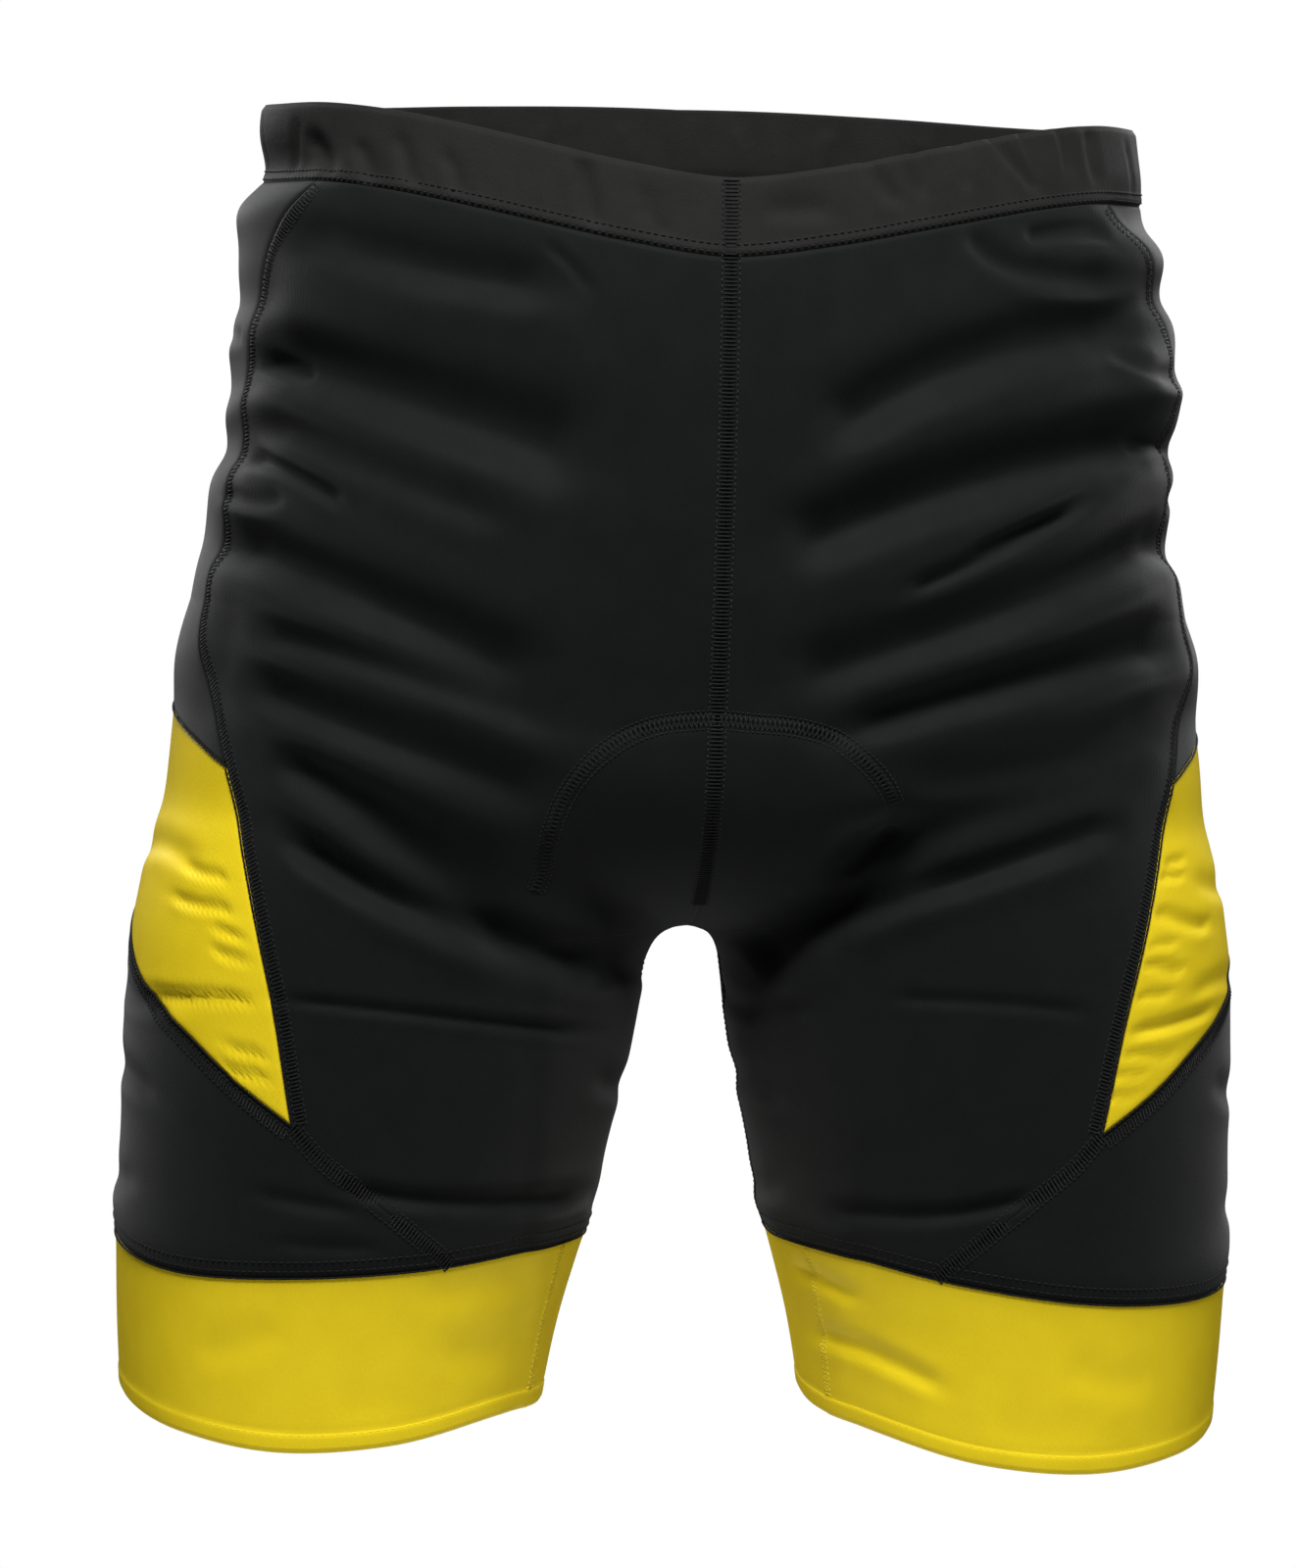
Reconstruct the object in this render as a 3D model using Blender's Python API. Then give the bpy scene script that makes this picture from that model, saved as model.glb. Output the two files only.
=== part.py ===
"""Worn cycling shorts: black jersey, yellow side panels and wide yellow cuffs.

The cloth is a wall that keeps the hollow form it has when worn: a torso open at the waist, and
two legs open at the hems. Panels meet 0.3 mm apart at their seams.

Frame, in metres: the origin is the middle of the waist opening, where the shorts are held up.
+X is the wearer's left, -Y the front and +Z up. Left and right are the wearer's.

The form is a smooth blend of a torso and two legs, each given by its sections. A point on it is
named by its height and its bearing, the angle in degrees round the axis of its own half: 0 at the
front, 90 at the outer side, 180 at the back, and -90 or 270 at the inner side of a leg.
"""

from collections import namedtuple

import bmesh
import bpy
import numpy as np

JERSEY_WALL = 0.0014
BAND_WALL = 0.0022
CUFF_WALL = 0.0018
SEAM_GAP = 0.0003
BAND_HEIGHT = 0.0275

TrunkSection = namedtuple("TrunkSection", "height half_width front back")
TRUNK = [
    TrunkSection(0.040, 0.157, 0.104, 0.100),
    TrunkSection(0.010, 0.159, 0.109, 0.100),
    TrunkSection(-0.030, 0.164, 0.116, 0.103),
    TrunkSection(-0.060, 0.168, 0.120, 0.110),
    TrunkSection(-0.100, 0.170, 0.121, 0.122),
    TrunkSection(-0.140, 0.171, 0.119, 0.131),
    TrunkSection(-0.180, 0.173, 0.114, 0.133),
    TrunkSection(-0.210, 0.173, 0.107, 0.127),
]
TRUNK_SQUARENESS = 2.15
FORK_DEPTH = 0.075

LegSection = namedtuple("LegSection", "height centre_x centre_y half_width front back")
LEG = [
    LegSection(-0.170, 0.088, 0.006, 0.078, 0.098, 0.108),
    LegSection(-0.215, 0.096, 0.005, 0.085, 0.099, 0.108),
    LegSection(-0.250, 0.102, 0.004, 0.091, 0.099, 0.105),
    LegSection(-0.285, 0.107, 0.004, 0.094, 0.098, 0.101),
    LegSection(-0.325, 0.111, 0.005, 0.093, 0.094, 0.095),
    LegSection(-0.360, 0.115, 0.006, 0.0895, 0.089, 0.090),
    LegSection(-0.395, 0.1195, 0.008, 0.086, 0.085, 0.086),
    LegSection(-0.430, 0.124, 0.010, 0.081, 0.080, 0.081),
    LegSection(-0.480, 0.127, 0.012, 0.075, 0.075, 0.076),
]
LEG_SQUARENESS = 2.1
LEG_TOP_DEPTH = 0.060

AxisPoint = namedtuple("AxisPoint", "height x y")
AXIS = [
    AxisPoint(0.040, 0.060, 0.000),
    AxisPoint(-0.100, 0.070, 0.002),
    AxisPoint(-0.200, 0.090, 0.004),
    AxisPoint(-0.285, 0.107, 0.002),
    AxisPoint(-0.360, 0.115, 0.006),
    AxisPoint(-0.480, 0.127, 0.012),
]

# The torso blends into the legs softly over the hips and tightly at the fork.
HIP_BLEND = 0.045
FORK_BLEND = 0.014
HIP_BLEND_END = -0.215
FORK_BLEND_START = -0.275

EdgePoint = namedtuple("EdgePoint", "bearing height")
WAIST_EDGE = [
    EdgePoint(-44, -0.0190),
    EdgePoint(-28, -0.0207),
    EdgePoint(-14, -0.0160),
    EdgePoint(0, -0.0100),
    EdgePoint(15, -0.0040),
    EdgePoint(30, 0.0010),
    EdgePoint(48, 0.0050),
    EdgePoint(72, 0.0070),
    EdgePoint(90, 0.0090),
    EdgePoint(130, 0.0140),
    EdgePoint(170, 0.0190),
    EdgePoint(208, 0.0210),
    EdgePoint(225, 0.0200),
]
YELLOW_TOP = [
    EdgePoint(46, -0.228),
    EdgePoint(58, -0.2205),
    EdgePoint(75, -0.213),
    EdgePoint(90, -0.209),
    EdgePoint(122, -0.205),
]
DIAGONAL_SEAM = [
    EdgePoint(18.5, -0.352),
    EdgePoint(33, -0.337),
    EdgePoint(45, -0.324),
    EdgePoint(58, -0.313),
    EdgePoint(70, -0.304),
    EdgePoint(82, -0.294),
    EdgePoint(100, -0.282),
    EdgePoint(125, -0.272),
]

# The right leg sits a little higher than the left one.
LegEdge = namedtuple("LegEdge", "bearing right left")
CUFF_SEAM = [
    LegEdge(-90, -0.3980, -0.3975),
    LegEdge(-45, -0.3990, -0.4000),
    LegEdge(-15, -0.4035, -0.4075),
    LegEdge(15, -0.4065, -0.4135),
    LegEdge(45, -0.4080, -0.4155),
    LegEdge(90, -0.4015, -0.4120),
    LegEdge(135, -0.3990, -0.4070),
    LegEdge(180, -0.3980, -0.4030),
    LegEdge(225, -0.3980, -0.3995),
    LegEdge(270, -0.3980, -0.3975),
]
HEM = [
    LegEdge(-90, -0.4620, -0.4590),
    LegEdge(-45, -0.4615, -0.4660),
    LegEdge(-15, -0.4680, -0.4740),
    LegEdge(15, -0.4705, -0.4770),
    LegEdge(45, -0.4665, -0.4735),
    LegEdge(90, -0.4580, -0.4655),
    LegEdge(135, -0.4580, -0.4640),
    LegEdge(180, -0.4600, -0.4630),
    LegEdge(225, -0.4610, -0.4605),
    LegEdge(270, -0.4620, -0.4590),
]

SeamPoint = namedtuple("SeamPoint", "height bearing")
SIDE_FRONT_SEAM = [
    SeamPoint(0.012, 46),
    SeamPoint(-0.018, 49),
    SeamPoint(-0.045, 62),
    SeamPoint(-0.075, 68.5),
    SeamPoint(-0.110, 68),
    SeamPoint(-0.150, 67),
    SeamPoint(-0.185, 63.5),
    SeamPoint(-0.205, 55.5),
    SeamPoint(-0.228, 47),
    SeamPoint(-0.260, 37),
    SeamPoint(-0.300, 27),
    SeamPoint(-0.352, 18.5),
]
FRONT_DIAGONAL = [
    SeamPoint(-0.352, 18.5),
    SeamPoint(-0.363, 12),
    SeamPoint(-0.375, 2),
    SeamPoint(-0.3855, -7),
    SeamPoint(-0.396, -16),
    SeamPoint(-0.405, -23.5),
]
SIDE_BACK_SEAM = [
    SeamPoint(0.020, 128),
    SeamPoint(-0.100, 124),
    SeamPoint(-0.205, 122),
    SeamPoint(-0.272, 125),
    SeamPoint(-0.405, 130),
]

# Each panel is a grid. Its rows run round the body and its columns down it.
UPPER_ROWS, YELLOW_ROWS, LOWER_ROWS = 23, 10, 9
CORNER_ROW = UPPER_ROWS + YELLOW_ROWS
LAST_ROW = CORNER_ROW + LOWER_ROWS
FORK_ROW = 28
FRONT_COLUMNS, SIDE_COLUMNS, BACK_COLUMNS = 13, 9, 8
BAND_ROWS, CUFF_ROWS = 2, 3
FORK_CROWDING = 1.8  # how much closer the rows lie where they near the fork

# A fold is a soft trough with a low ridge on each side, or a soft swell where its depth is below 0.
# It runs through three points of the view that it is seen in: across is x in the front and back
# views, and y in the left and right ones.
Fold = namedtuple(
    "Fold", "view start_across start_z middle_across middle_z end_across end_z width depth"
)
FOLDS = [
    Fold("front", -0.146, -0.030, -0.104, -0.046, -0.058, -0.054, 0.010, 0.0022),
    Fold("front", -0.160, -0.074, -0.100, -0.092, -0.042, -0.107, 0.015, 0.0038),
    Fold("front", -0.172, -0.140, -0.118, -0.159, -0.053, -0.188, 0.012, 0.0032),
    Fold("front", -0.162, -0.175, -0.110, -0.187, -0.053, -0.204, 0.010, 0.0022),
    Fold("front", -0.170, -0.190, -0.112, -0.212, -0.052, -0.227, 0.010, 0.0022),
    Fold("front", -0.170, -0.211, -0.108, -0.241, -0.047, -0.287, 0.014, 0.0034),
    Fold("front", -0.163, -0.238, -0.096, -0.272, -0.022, -0.291, 0.010, 0.0030),
    Fold("front", -0.140, -0.370, -0.085, -0.377, -0.035, -0.377, 0.010, 0.0014),
    Fold("front", 0.028, -0.100, 0.086, -0.067, 0.166, -0.054, 0.013, 0.0036),
    Fold("front", 0.015, -0.140, 0.080, -0.112, 0.169, -0.092, 0.013, 0.0038),
    Fold("front", 0.019, -0.185, 0.090, -0.163, 0.173, -0.131, 0.011, 0.0028),
    Fold("front", 0.038, -0.205, 0.105, -0.186, 0.175, -0.168, 0.010, 0.0026),
    Fold("front", 0.065, -0.220, 0.115, -0.212, 0.166, -0.195, 0.011, 0.0020),
    Fold("front", 0.035, -0.247, 0.090, -0.232, 0.160, -0.211, 0.012, 0.0026),
    Fold("front", 0.030, -0.277, 0.092, -0.254, 0.150, -0.234, 0.010, 0.0030),
    Fold("front", 0.047, -0.379, 0.085, -0.379, 0.121, -0.370, 0.010, 0.0013),
    Fold("front", 0.014, -0.290, 0.038, -0.268, 0.068, -0.238, 0.013, 0.0024),
    Fold("left", -0.075, -0.017, 0.000, -0.019, 0.075, -0.014, 0.011, 0.0024),
    Fold("left", -0.080, -0.082, 0.000, -0.084, 0.080, -0.090, 0.030, -0.0046),
    Fold("left", -0.070, -0.056, 0.000, -0.051, 0.070, -0.064, 0.010, 0.0020),
    Fold("left", -0.070, -0.082, 0.005, -0.075, 0.060, -0.086, 0.010, 0.0014),
    Fold("left", -0.060, -0.112, 0.010, -0.106, 0.080, -0.118, 0.010, 0.0020),
    Fold("left", -0.070, -0.140, 0.000, -0.146, 0.075, -0.160, 0.011, 0.0022),
    Fold("left", -0.075, -0.176, 0.000, -0.189, 0.080, -0.198, 0.011, 0.0009),
    Fold("right", -0.075, -0.011, 0.000, -0.013, 0.075, -0.009, 0.012, 0.0040),
    Fold("right", -0.065, -0.062, 0.000, -0.060, 0.070, -0.068, 0.010, 0.0018),
    Fold("right", -0.065, -0.088, 0.005, -0.092, 0.075, -0.104, 0.010, 0.0016),
    Fold("right", -0.070, -0.112, 0.000, -0.111, 0.070, -0.118, 0.012, 0.0028),
    Fold("right", -0.070, -0.150, 0.000, -0.146, 0.080, -0.158, 0.010, 0.0012),
    Fold("right", -0.060, -0.178, 0.005, -0.182, 0.075, -0.190, 0.025, -0.0030),
    Fold("back", -0.150, -0.060, -0.090, -0.070, -0.030, -0.066, 0.013, 0.0022),
    Fold("back", 0.035, -0.075, 0.095, -0.088, 0.155, -0.080, 0.013, 0.0024),
    Fold("back", -0.155, -0.118, -0.105, -0.128, -0.050, -0.122, 0.012, 0.0016),
    Fold("back", 0.040, -0.140, 0.100, -0.152, 0.155, -0.144, 0.012, 0.0016),
    Fold("back", -0.165, -0.205, -0.120, -0.222, -0.070, -0.236, 0.013, 0.0022),
    Fold("back", 0.070, -0.232, 0.118, -0.220, 0.160, -0.200, 0.013, 0.0020),
    Fold("back", -0.165, -0.262, -0.100, -0.277, -0.030, -0.272, 0.012, 0.0036),
    Fold("back", 0.030, -0.274, 0.102, -0.279, 0.165, -0.262, 0.012, 0.0036),
    Fold("back", -0.160, -0.320, -0.110, -0.328, -0.055, -0.322, 0.011, 0.0015),
    Fold("back", 0.055, -0.318, 0.112, -0.327, 0.160, -0.316, 0.011, 0.0015),
    Fold("back", 0.000, -0.130, 0.000, -0.180, 0.000, -0.235, 0.020, 0.0030),
]
FOLD_STEPS = 8
FADE_FROM, FADE_TO = -0.10, 0.40  # how squarely the cloth faces a view for its folds to show

# The jersey swells out under the tight waistband and above the tight cuffs.
Swell = namedtuple("Swell", "below_edge spread lift")
BAND_SWELL = Swell(0.013, 0.011, 0.0028)
CUFF_SWELL = Swell(-0.012, 0.010, 0.0014)
SWELL_BEARINGS = (15, 60)  # the swell under the band grows from the first bearing to the second

BLACK_JERSEY = ("black_jersey", (0.0100, 0.0105, 0.0100, 1.0), 0.85)
BLACK_BAND = ("black_band", (0.0220, 0.0220, 0.0215, 1.0), 0.90)
YELLOW_JERSEY = ("yellow_jersey", (0.640, 0.470, 0.020, 1.0), 0.65)

PARAMETER_STEP = 0.0001
AXIS_CLEARANCE = 0.004
FARTHEST = 0.260
WELD = 0.00001


def column(table, name):
    """One named column of a table, as an array."""
    return np.array([getattr(row, name) for row in table], float)


def curve_value(table, along, name, at):
    """The smooth curve through a table's values, read at some places and level past its ends."""
    x, y = column(table, along), column(table, name)
    if x[0] > x[-1]:
        x, y = x[::-1], y[::-1]
    slope = np.gradient(y, x)
    at = np.clip(at, x[0], x[-1])
    i = np.clip(np.searchsorted(x, at) - 1, 0, len(x) - 2)
    span = x[i + 1] - x[i]
    s = (at - x[i]) / span
    start = (1 + 2 * s) * (1 - s) ** 2 * y[i] + s * (1 - s) ** 2 * span * slope[i]
    end = s * s * (3 - 2 * s) * y[i + 1] + s * s * (s - 1) * span * slope[i + 1]
    return start + end


def ease(value, low, high):
    """0 below low and 1 above high, with a smooth change between."""
    t = np.clip((value - low) / (high - low), 0, 1)
    return t * t * (3 - 2 * t)


Cap = namedtuple("Cap", "past depth")


def oval_distance(across, along, half_width, half_depth, squareness, cap):
    """About how far a point lies outside an oval tube, which a rounded cap closes."""
    u, v = np.abs(across) / half_width, np.abs(along) / half_depth
    ring = np.maximum((u**squareness + v**squareness) ** (1 / squareness), 1e-6)
    rate_u = (u / ring) ** (squareness - 1) / half_width
    rate_v = (v / ring) ** (squareness - 1) / half_depth
    reach = np.sqrt(ring**2 + (cap.past / cap.depth) ** 2)
    rate_cap = cap.past / cap.depth**2 / np.maximum(reach, 1e-6)
    rate = np.sqrt(np.maximum(rate_u**2 + rate_v**2, 1e-6) + rate_cap**2)
    return (reach - 1) / rate


def form(points):
    """About how far each point lies outside the worn form. The two halves are alike."""
    x, y, z = np.abs(points[..., 0]), points[..., 1], points[..., 2]
    trunk = [curve_value(TRUNK, "height", name, z) for name in ("half_width", "front", "back")]
    fork_cap = Cap(np.maximum(TRUNK[-1].height - z, 0), FORK_DEPTH)
    depth = np.where(y < 0, trunk[1], trunk[2])
    to_trunk = oval_distance(x, y, trunk[0], depth, TRUNK_SQUARENESS, fork_cap)
    names = ("centre_x", "centre_y", "half_width", "front", "back")
    leg = [curve_value(LEG, "height", name, z) for name in names]
    leg_cap = Cap(np.maximum(z - LEG[0].height, 0), LEG_TOP_DEPTH)
    depth = np.where(y < leg[1], leg[3], leg[4])
    to_leg = oval_distance(x - leg[0], y - leg[1], leg[2], depth, LEG_SQUARENESS, leg_cap)
    blend = HIP_BLEND + (FORK_BLEND - HIP_BLEND) * ease(-z, -HIP_BLEND_END, -FORK_BLEND_START)
    share = np.clip(0.5 + 0.5 * (to_leg - to_trunk) / blend, 0, 1)
    return to_leg + (to_trunk - to_leg) * share - blend * share * (1 - share)


def normals_of(points):
    """The form's unit normals, which lie in the middle plane where the points do."""
    normals = np.empty(points.shape)
    for axis, step in enumerate(np.eye(3) * PARAMETER_STEP):
        normals[..., axis] = form(points + step) - form(points - step)
    normals[np.abs(points[..., 0]) < PARAMETER_STEP, 0] = 0
    return normals / np.linalg.norm(normals, axis=-1, keepdims=True)


def cast(start, direction):
    """How far the form's surface lies from each start, by halving."""
    near, far = np.full(start.shape[:-1], AXIS_CLEARANCE), np.full(start.shape[:-1], FARTHEST)
    for _ in range(40):
        middle = (near + far) / 2
        point = start + direction * middle[..., None]
        inside = (form(point) < 0) & (point[..., 0] > -PARAMETER_STEP)
        near, far = np.where(inside, middle, near), np.where(inside, far, middle)
    return start + direction * near[..., None]


def fork_point():
    """The lowest point of the torso in the middle plane, between the legs."""
    y, z = np.meshgrid(np.linspace(-0.040, 0.050, 181), np.linspace(-0.250, -0.320, 701))
    depth = form(np.stack([np.zeros_like(y), y, z], axis=-1))
    row = np.flatnonzero((depth < 0).any(axis=1)).max()
    return np.array([0.0, y[row, np.argmin(depth[row])], z[row, 0]])


FORK = fork_point()


def axis_at(heights):
    """The axis of the left half at some heights."""
    x, y = (curve_value(AXIS, "height", name, heights) for name in ("x", "y"))
    return np.stack([x, y, heights], axis=-1)


def middle_points(heights, facing):
    """Points of the middle seam at heights above the fork: facing is -1 in front, 1 behind."""
    start = np.stack([np.zeros_like(heights), np.full_like(heights, FORK[1]), heights], axis=-1)
    return cast(start, np.array([0.0, facing, 0.0]))


def middle_bearings(heights, facing):
    """The bearings of the middle seam, which reach the inner side of the leg at the fork."""
    above = heights > FORK[2] + PARAMETER_STEP
    points = middle_points(np.maximum(heights, FORK[2] + PARAMETER_STEP), facing)
    offset = points - axis_at(heights)
    bearings = np.degrees(np.arctan2(offset[..., 1], offset[..., 0])) + 90
    bearings = np.where((facing > 0) & (bearings < 0), bearings + 360, bearings)
    return np.where(above, bearings, 90 + 180 * facing)


def surface_points(bearings, heights):
    """Points of the left half from their bearings and heights."""
    angles = np.radians(bearings - 90)
    direction = np.stack([np.cos(angles), np.sin(angles), np.zeros_like(angles)], axis=-1)
    return cast(axis_at(heights), direction)


def edge_height(table, bearings, leg=None):
    """The height of an edge at some bearings, on one leg where the legs differ."""
    return curve_value(table, "bearing", leg or "height", bearings)


def band_seam(bearings):
    """The height of the seam under the waistband."""
    return edge_height(WAIST_EDGE, bearings) - BAND_HEIGHT


def seam_start(seam):
    """The bearing where a side seam leaves the waistband."""
    bearing = seam[0].bearing
    for _ in range(4):
        bearing = curve_value(seam, "height", "bearing", band_seam(bearing))
    return float(bearing)


def station_heights(top, yellow_top, corner, bottom):
    """The heights of all rows on a side seam, given those at the corners of the side panels."""
    stations = np.cumsum([0, UPPER_ROWS, YELLOW_ROWS, LOWER_ROWS])
    return np.interp(np.arange(LAST_ROW + 1), stations, [top, yellow_top, corner, bottom])


def front_side_rows(leg):
    """The bearing and height of each row down the side front seam and the diagonal below it."""
    top = band_seam(seam_start(SIDE_FRONT_SEAM))
    corner, end = FRONT_DIAGONAL[0], FRONT_DIAGONAL[-1]
    bottom = float(edge_height(CUFF_SEAM, end.bearing, leg))
    heights = station_heights(top, YELLOW_TOP[0].height, corner.height, bottom)
    bearings = curve_value(SIDE_FRONT_SEAM, "height", "bearing", heights)
    share = (corner.height - heights) / (corner.height - bottom)
    diagonal_heights = corner.height + (end.height - corner.height) * share
    diagonal = curve_value(FRONT_DIAGONAL, "height", "bearing", diagonal_heights)
    return np.where(heights < corner.height, diagonal, bearings), heights


def back_side_rows(leg):
    """The bearing and height of each row down the side back seam."""
    top = band_seam(seam_start(SIDE_BACK_SEAM))
    bottom = edge_height(CUFF_SEAM, SIDE_BACK_SEAM[-1].bearing, leg)
    heights = station_heights(top, YELLOW_TOP[-1].height, DIAGONAL_SEAM[-1].height, bottom)
    return curve_value(SIDE_BACK_SEAM, "height", "bearing", heights), heights


def middle_rows(leg, facing):
    """The heights of the rows on the middle seam and down the inner side of the leg."""
    middle = middle_bearings(np.array([band_seam(0.0)]), facing)[0]
    top, bottom = band_seam(middle), edge_height(CUFF_SEAM, 90 + 180 * facing, leg)
    down = 1 - (1 - np.arange(FORK_ROW + 1) / FORK_ROW) ** FORK_CROWDING
    below = np.arange(1, LAST_ROW - FORK_ROW + 1) / (LAST_ROW - FORK_ROW)
    return np.concatenate([top + (FORK[2] - top) * down, FORK[2] + (bottom - FORK[2]) * below])


def panel_net(middle, side, leg, facing, columns):
    """Bearings and heights of a front or back panel, from the middle seam to the side seam."""
    across = np.linspace(0, 1, columns + 1)
    side_bearings, side_heights = side
    start = middle_bearings(middle, facing)
    bearings = start[:, None] + (side_bearings - start)[:, None] * across
    top, bottom = band_seam(bearings), edge_height(CUFF_SEAM, bearings, leg)
    share_middle = (middle - top[:, 0]) / (bottom[:, 0] - top[:, 0])
    share_side = (side_heights - top[:, -1]) / (bottom[:, -1] - top[:, -1])
    share = share_middle[:, None] + (share_side - share_middle)[:, None] * ease(across, 0, 1)
    return bearings, top + (bottom - top) * share


def side_net(front, back, leg):
    """Bearings and heights between the two side seams, with rows on the edges of the yellow."""
    across = np.linspace(0, 1, SIDE_COLUMNS + 1)
    bearings = front[0][:, None] + (back[0] - front[0])[:, None] * across
    marks = [0, UPPER_ROWS, CORNER_ROW, LAST_ROW]
    edges = [
        band_seam(bearings[marks[0]]),
        edge_height(YELLOW_TOP, bearings[marks[1]]),
        edge_height(DIAGONAL_SEAM, bearings[marks[2]]),
        edge_height(CUFF_SEAM, bearings[marks[3]], leg),
    ]
    heights = [station_heights(*corners) for corners in zip(*edges)]
    return bearings, np.stack(heights, axis=1)


def half_net(leg):
    """Bearings and heights of the whole half, from the middle in front to the middle behind."""
    front_side, back_side = front_side_rows(leg), back_side_rows(leg)
    front = panel_net(middle_rows(leg, -1), front_side, leg, -1, FRONT_COLUMNS)
    side = side_net(front_side, back_side, leg)
    back = panel_net(middle_rows(leg, 1), back_side, leg, 1, BACK_COLUMNS)
    return [
        np.concatenate([front[i], side[i][:, 1:-1], back[i][:, ::-1]], axis=1) for i in (0, 1)
    ]


def fold_path(fold):
    """Points along a fold in its view: a curve through its start, middle and end."""
    start = np.array([fold.start_across, fold.start_z])
    end = np.array([fold.end_across, fold.end_z])
    pull = 2 * np.array([fold.middle_across, fold.middle_z]) - (start + end) / 2
    t = np.linspace(0, 1, FOLD_STEPS + 1)[:, None]
    return (1 - t) ** 2 * start + 2 * t * (1 - t) * pull + t * t * end


def path_distance(points, path):
    """The distance of each point from a path, and how far along it the nearest place is."""
    nearest, along = np.full(len(points), np.inf), np.zeros(len(points))
    for i, (a, b) in enumerate(zip(path[:-1], path[1:])):
        t = np.clip((points - a) @ (b - a) / ((b - a) @ (b - a)), 0, 1)
        distance = np.linalg.norm(points - (a + t[:, None] * (b - a)), axis=1)
        closer = distance < nearest
        nearest = np.where(closer, distance, nearest)
        along = np.where(closer, (i + t) / (len(path) - 1), along)
    return nearest, along


VIEWS = {
    "front": (0, np.array([0.0, -1.0, 0.0])),
    "back": (0, np.array([0.0, 1.0, 0.0])),
    "left": (1, np.array([1.0, 0.0, 0.0])),
    "right": (1, np.array([-1.0, 0.0, 0.0])),
}


def fold_lift(points, normals):
    """How far the folds move each point out along its normal."""
    lift = np.zeros(len(points))
    for fold in FOLDS:
        across, towards = VIEWS[fold.view]
        distance, along = path_distance(points[:, [across, 2]], fold_path(fold))
        q = (distance / fold.width) ** 2
        ends = ease(along, 0, 0.25) * ease(1 - along, 0, 0.25)
        shows = ease(normals @ towards, FADE_FROM, FADE_TO)
        lift -= fold.depth * (1 - 1.5 * q) * np.exp(-q) * (0.25 + 0.75 * ends) * shows
    return lift


def swell_lift(bearings, heights, leg):
    """How far the jersey swells out near the waistband and the cuff."""
    below_band = band_seam(bearings) - heights
    above_cuff = edge_height(CUFF_SEAM, bearings, leg) - heights
    side = ease(bearings, *SWELL_BEARINGS)
    band = np.exp(-(((below_band - BAND_SWELL.below_edge) / BAND_SWELL.spread) ** 2))
    cuff = np.exp(-(((above_cuff - CUFF_SWELL.below_edge) / CUFF_SWELL.spread) ** 2))
    return BAND_SWELL.lift * band * side + CUFF_SWELL.lift * cuff


Skin = namedtuple("Skin", "points normals side")


def skin(bearings, heights, side, meets_middle=True):
    """The outer face of one half's cloth with its folds. Side is 1 on the left, -1 on the right."""
    leg = "left" if side > 0 else "right"
    points = surface_points(bearings, heights)
    if meets_middle:
        points[:, 0] = middle_line(heights[:, 0], -1)
        points[:, -1] = middle_line(heights[:, -1], 1)
    normals = normals_of(points)
    mirror = np.array([side, 1.0, 1.0])
    points, normals = points * mirror, normals * mirror
    flat_points, flat_normals = points.reshape(-1, 3), normals.reshape(-1, 3)
    lift = fold_lift(flat_points, flat_normals) + swell_lift(bearings, heights, leg).ravel()
    points = (flat_points + flat_normals * lift[:, None]).reshape(points.shape)
    return Skin(points, normals, side)


def middle_line(heights, facing):
    """The middle seam down to the fork, then the inner side of the leg."""
    above = heights > FORK[2] + PARAMETER_STEP
    middle = middle_points(np.maximum(heights, FORK[2] + PARAMETER_STEP), facing)
    inner = surface_points(np.full_like(heights, 90 + 180 * facing), heights)
    line = np.where(above[:, None], middle, inner)
    line[np.abs(heights - FORK[2]) <= PARAMETER_STEP] = FORK
    return line


def part_of(whole, rows, columns):
    """The part of a skin between two rows and two columns."""
    block = slice(rows[0], rows[1] + 1), slice(columns[0], columns[1] + 1)
    return Skin(whole.points[block], whole.normals[block], whole.side)


def edge_loops(rows, columns, ring):
    """The places round the border of a grid, or round the two edges of a ring."""
    if ring:
        top = [(0, c) for c in range(columns - 1)]
        return [top, [(rows - 1, c) for _, c in reversed(top)]]
    down, right = range(rows), range(columns)
    border = [(0, c) for c in right] + [(r, columns - 1) for r in down[1:]]
    border += [(rows - 1, c) for c in right[-2::-1]] + [(r, 0) for r in down[-2:0:-1]]
    return [border]


def seam_inset(cloth, ring):
    """How far each border point draws back from the seam, half the gap square to each edge."""
    inset = np.zeros(cloth.points.shape)
    for loop in edge_loops(*cloth.points.shape[:2], ring):
        at = tuple(np.array(loop).T)
        points, normals = cloth.points[at], cloth.normals[at]
        edges = np.roll(points, -1, axis=0) - points
        edges /= np.linalg.norm(edges, axis=1, keepdims=True)
        after = np.cross(edges, normals) * cloth.side
        before = np.cross(np.roll(edges, 1, axis=0), normals) * cloth.side
        after /= np.linalg.norm(after, axis=1, keepdims=True)
        before /= np.linalg.norm(before, axis=1, keepdims=True)
        mitre = (after + before) / (1 + (after * before).sum(axis=1, keepdims=True))
        inset[at] = mitre * SEAM_GAP / 2
    if ring:
        inset[:, -1] = inset[:, 0]
    return inset


def principled(name, colour, roughness):
    """A plain cloth material."""
    material = bpy.data.materials.new(name)
    material.use_nodes = True
    shader = material.node_tree.nodes["Principled BSDF"]
    shader.inputs["Base Color"].default_value = colour
    shader.inputs["Roughness"].default_value = roughness
    shader.inputs["Metallic"].default_value = 0.0
    return material


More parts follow.
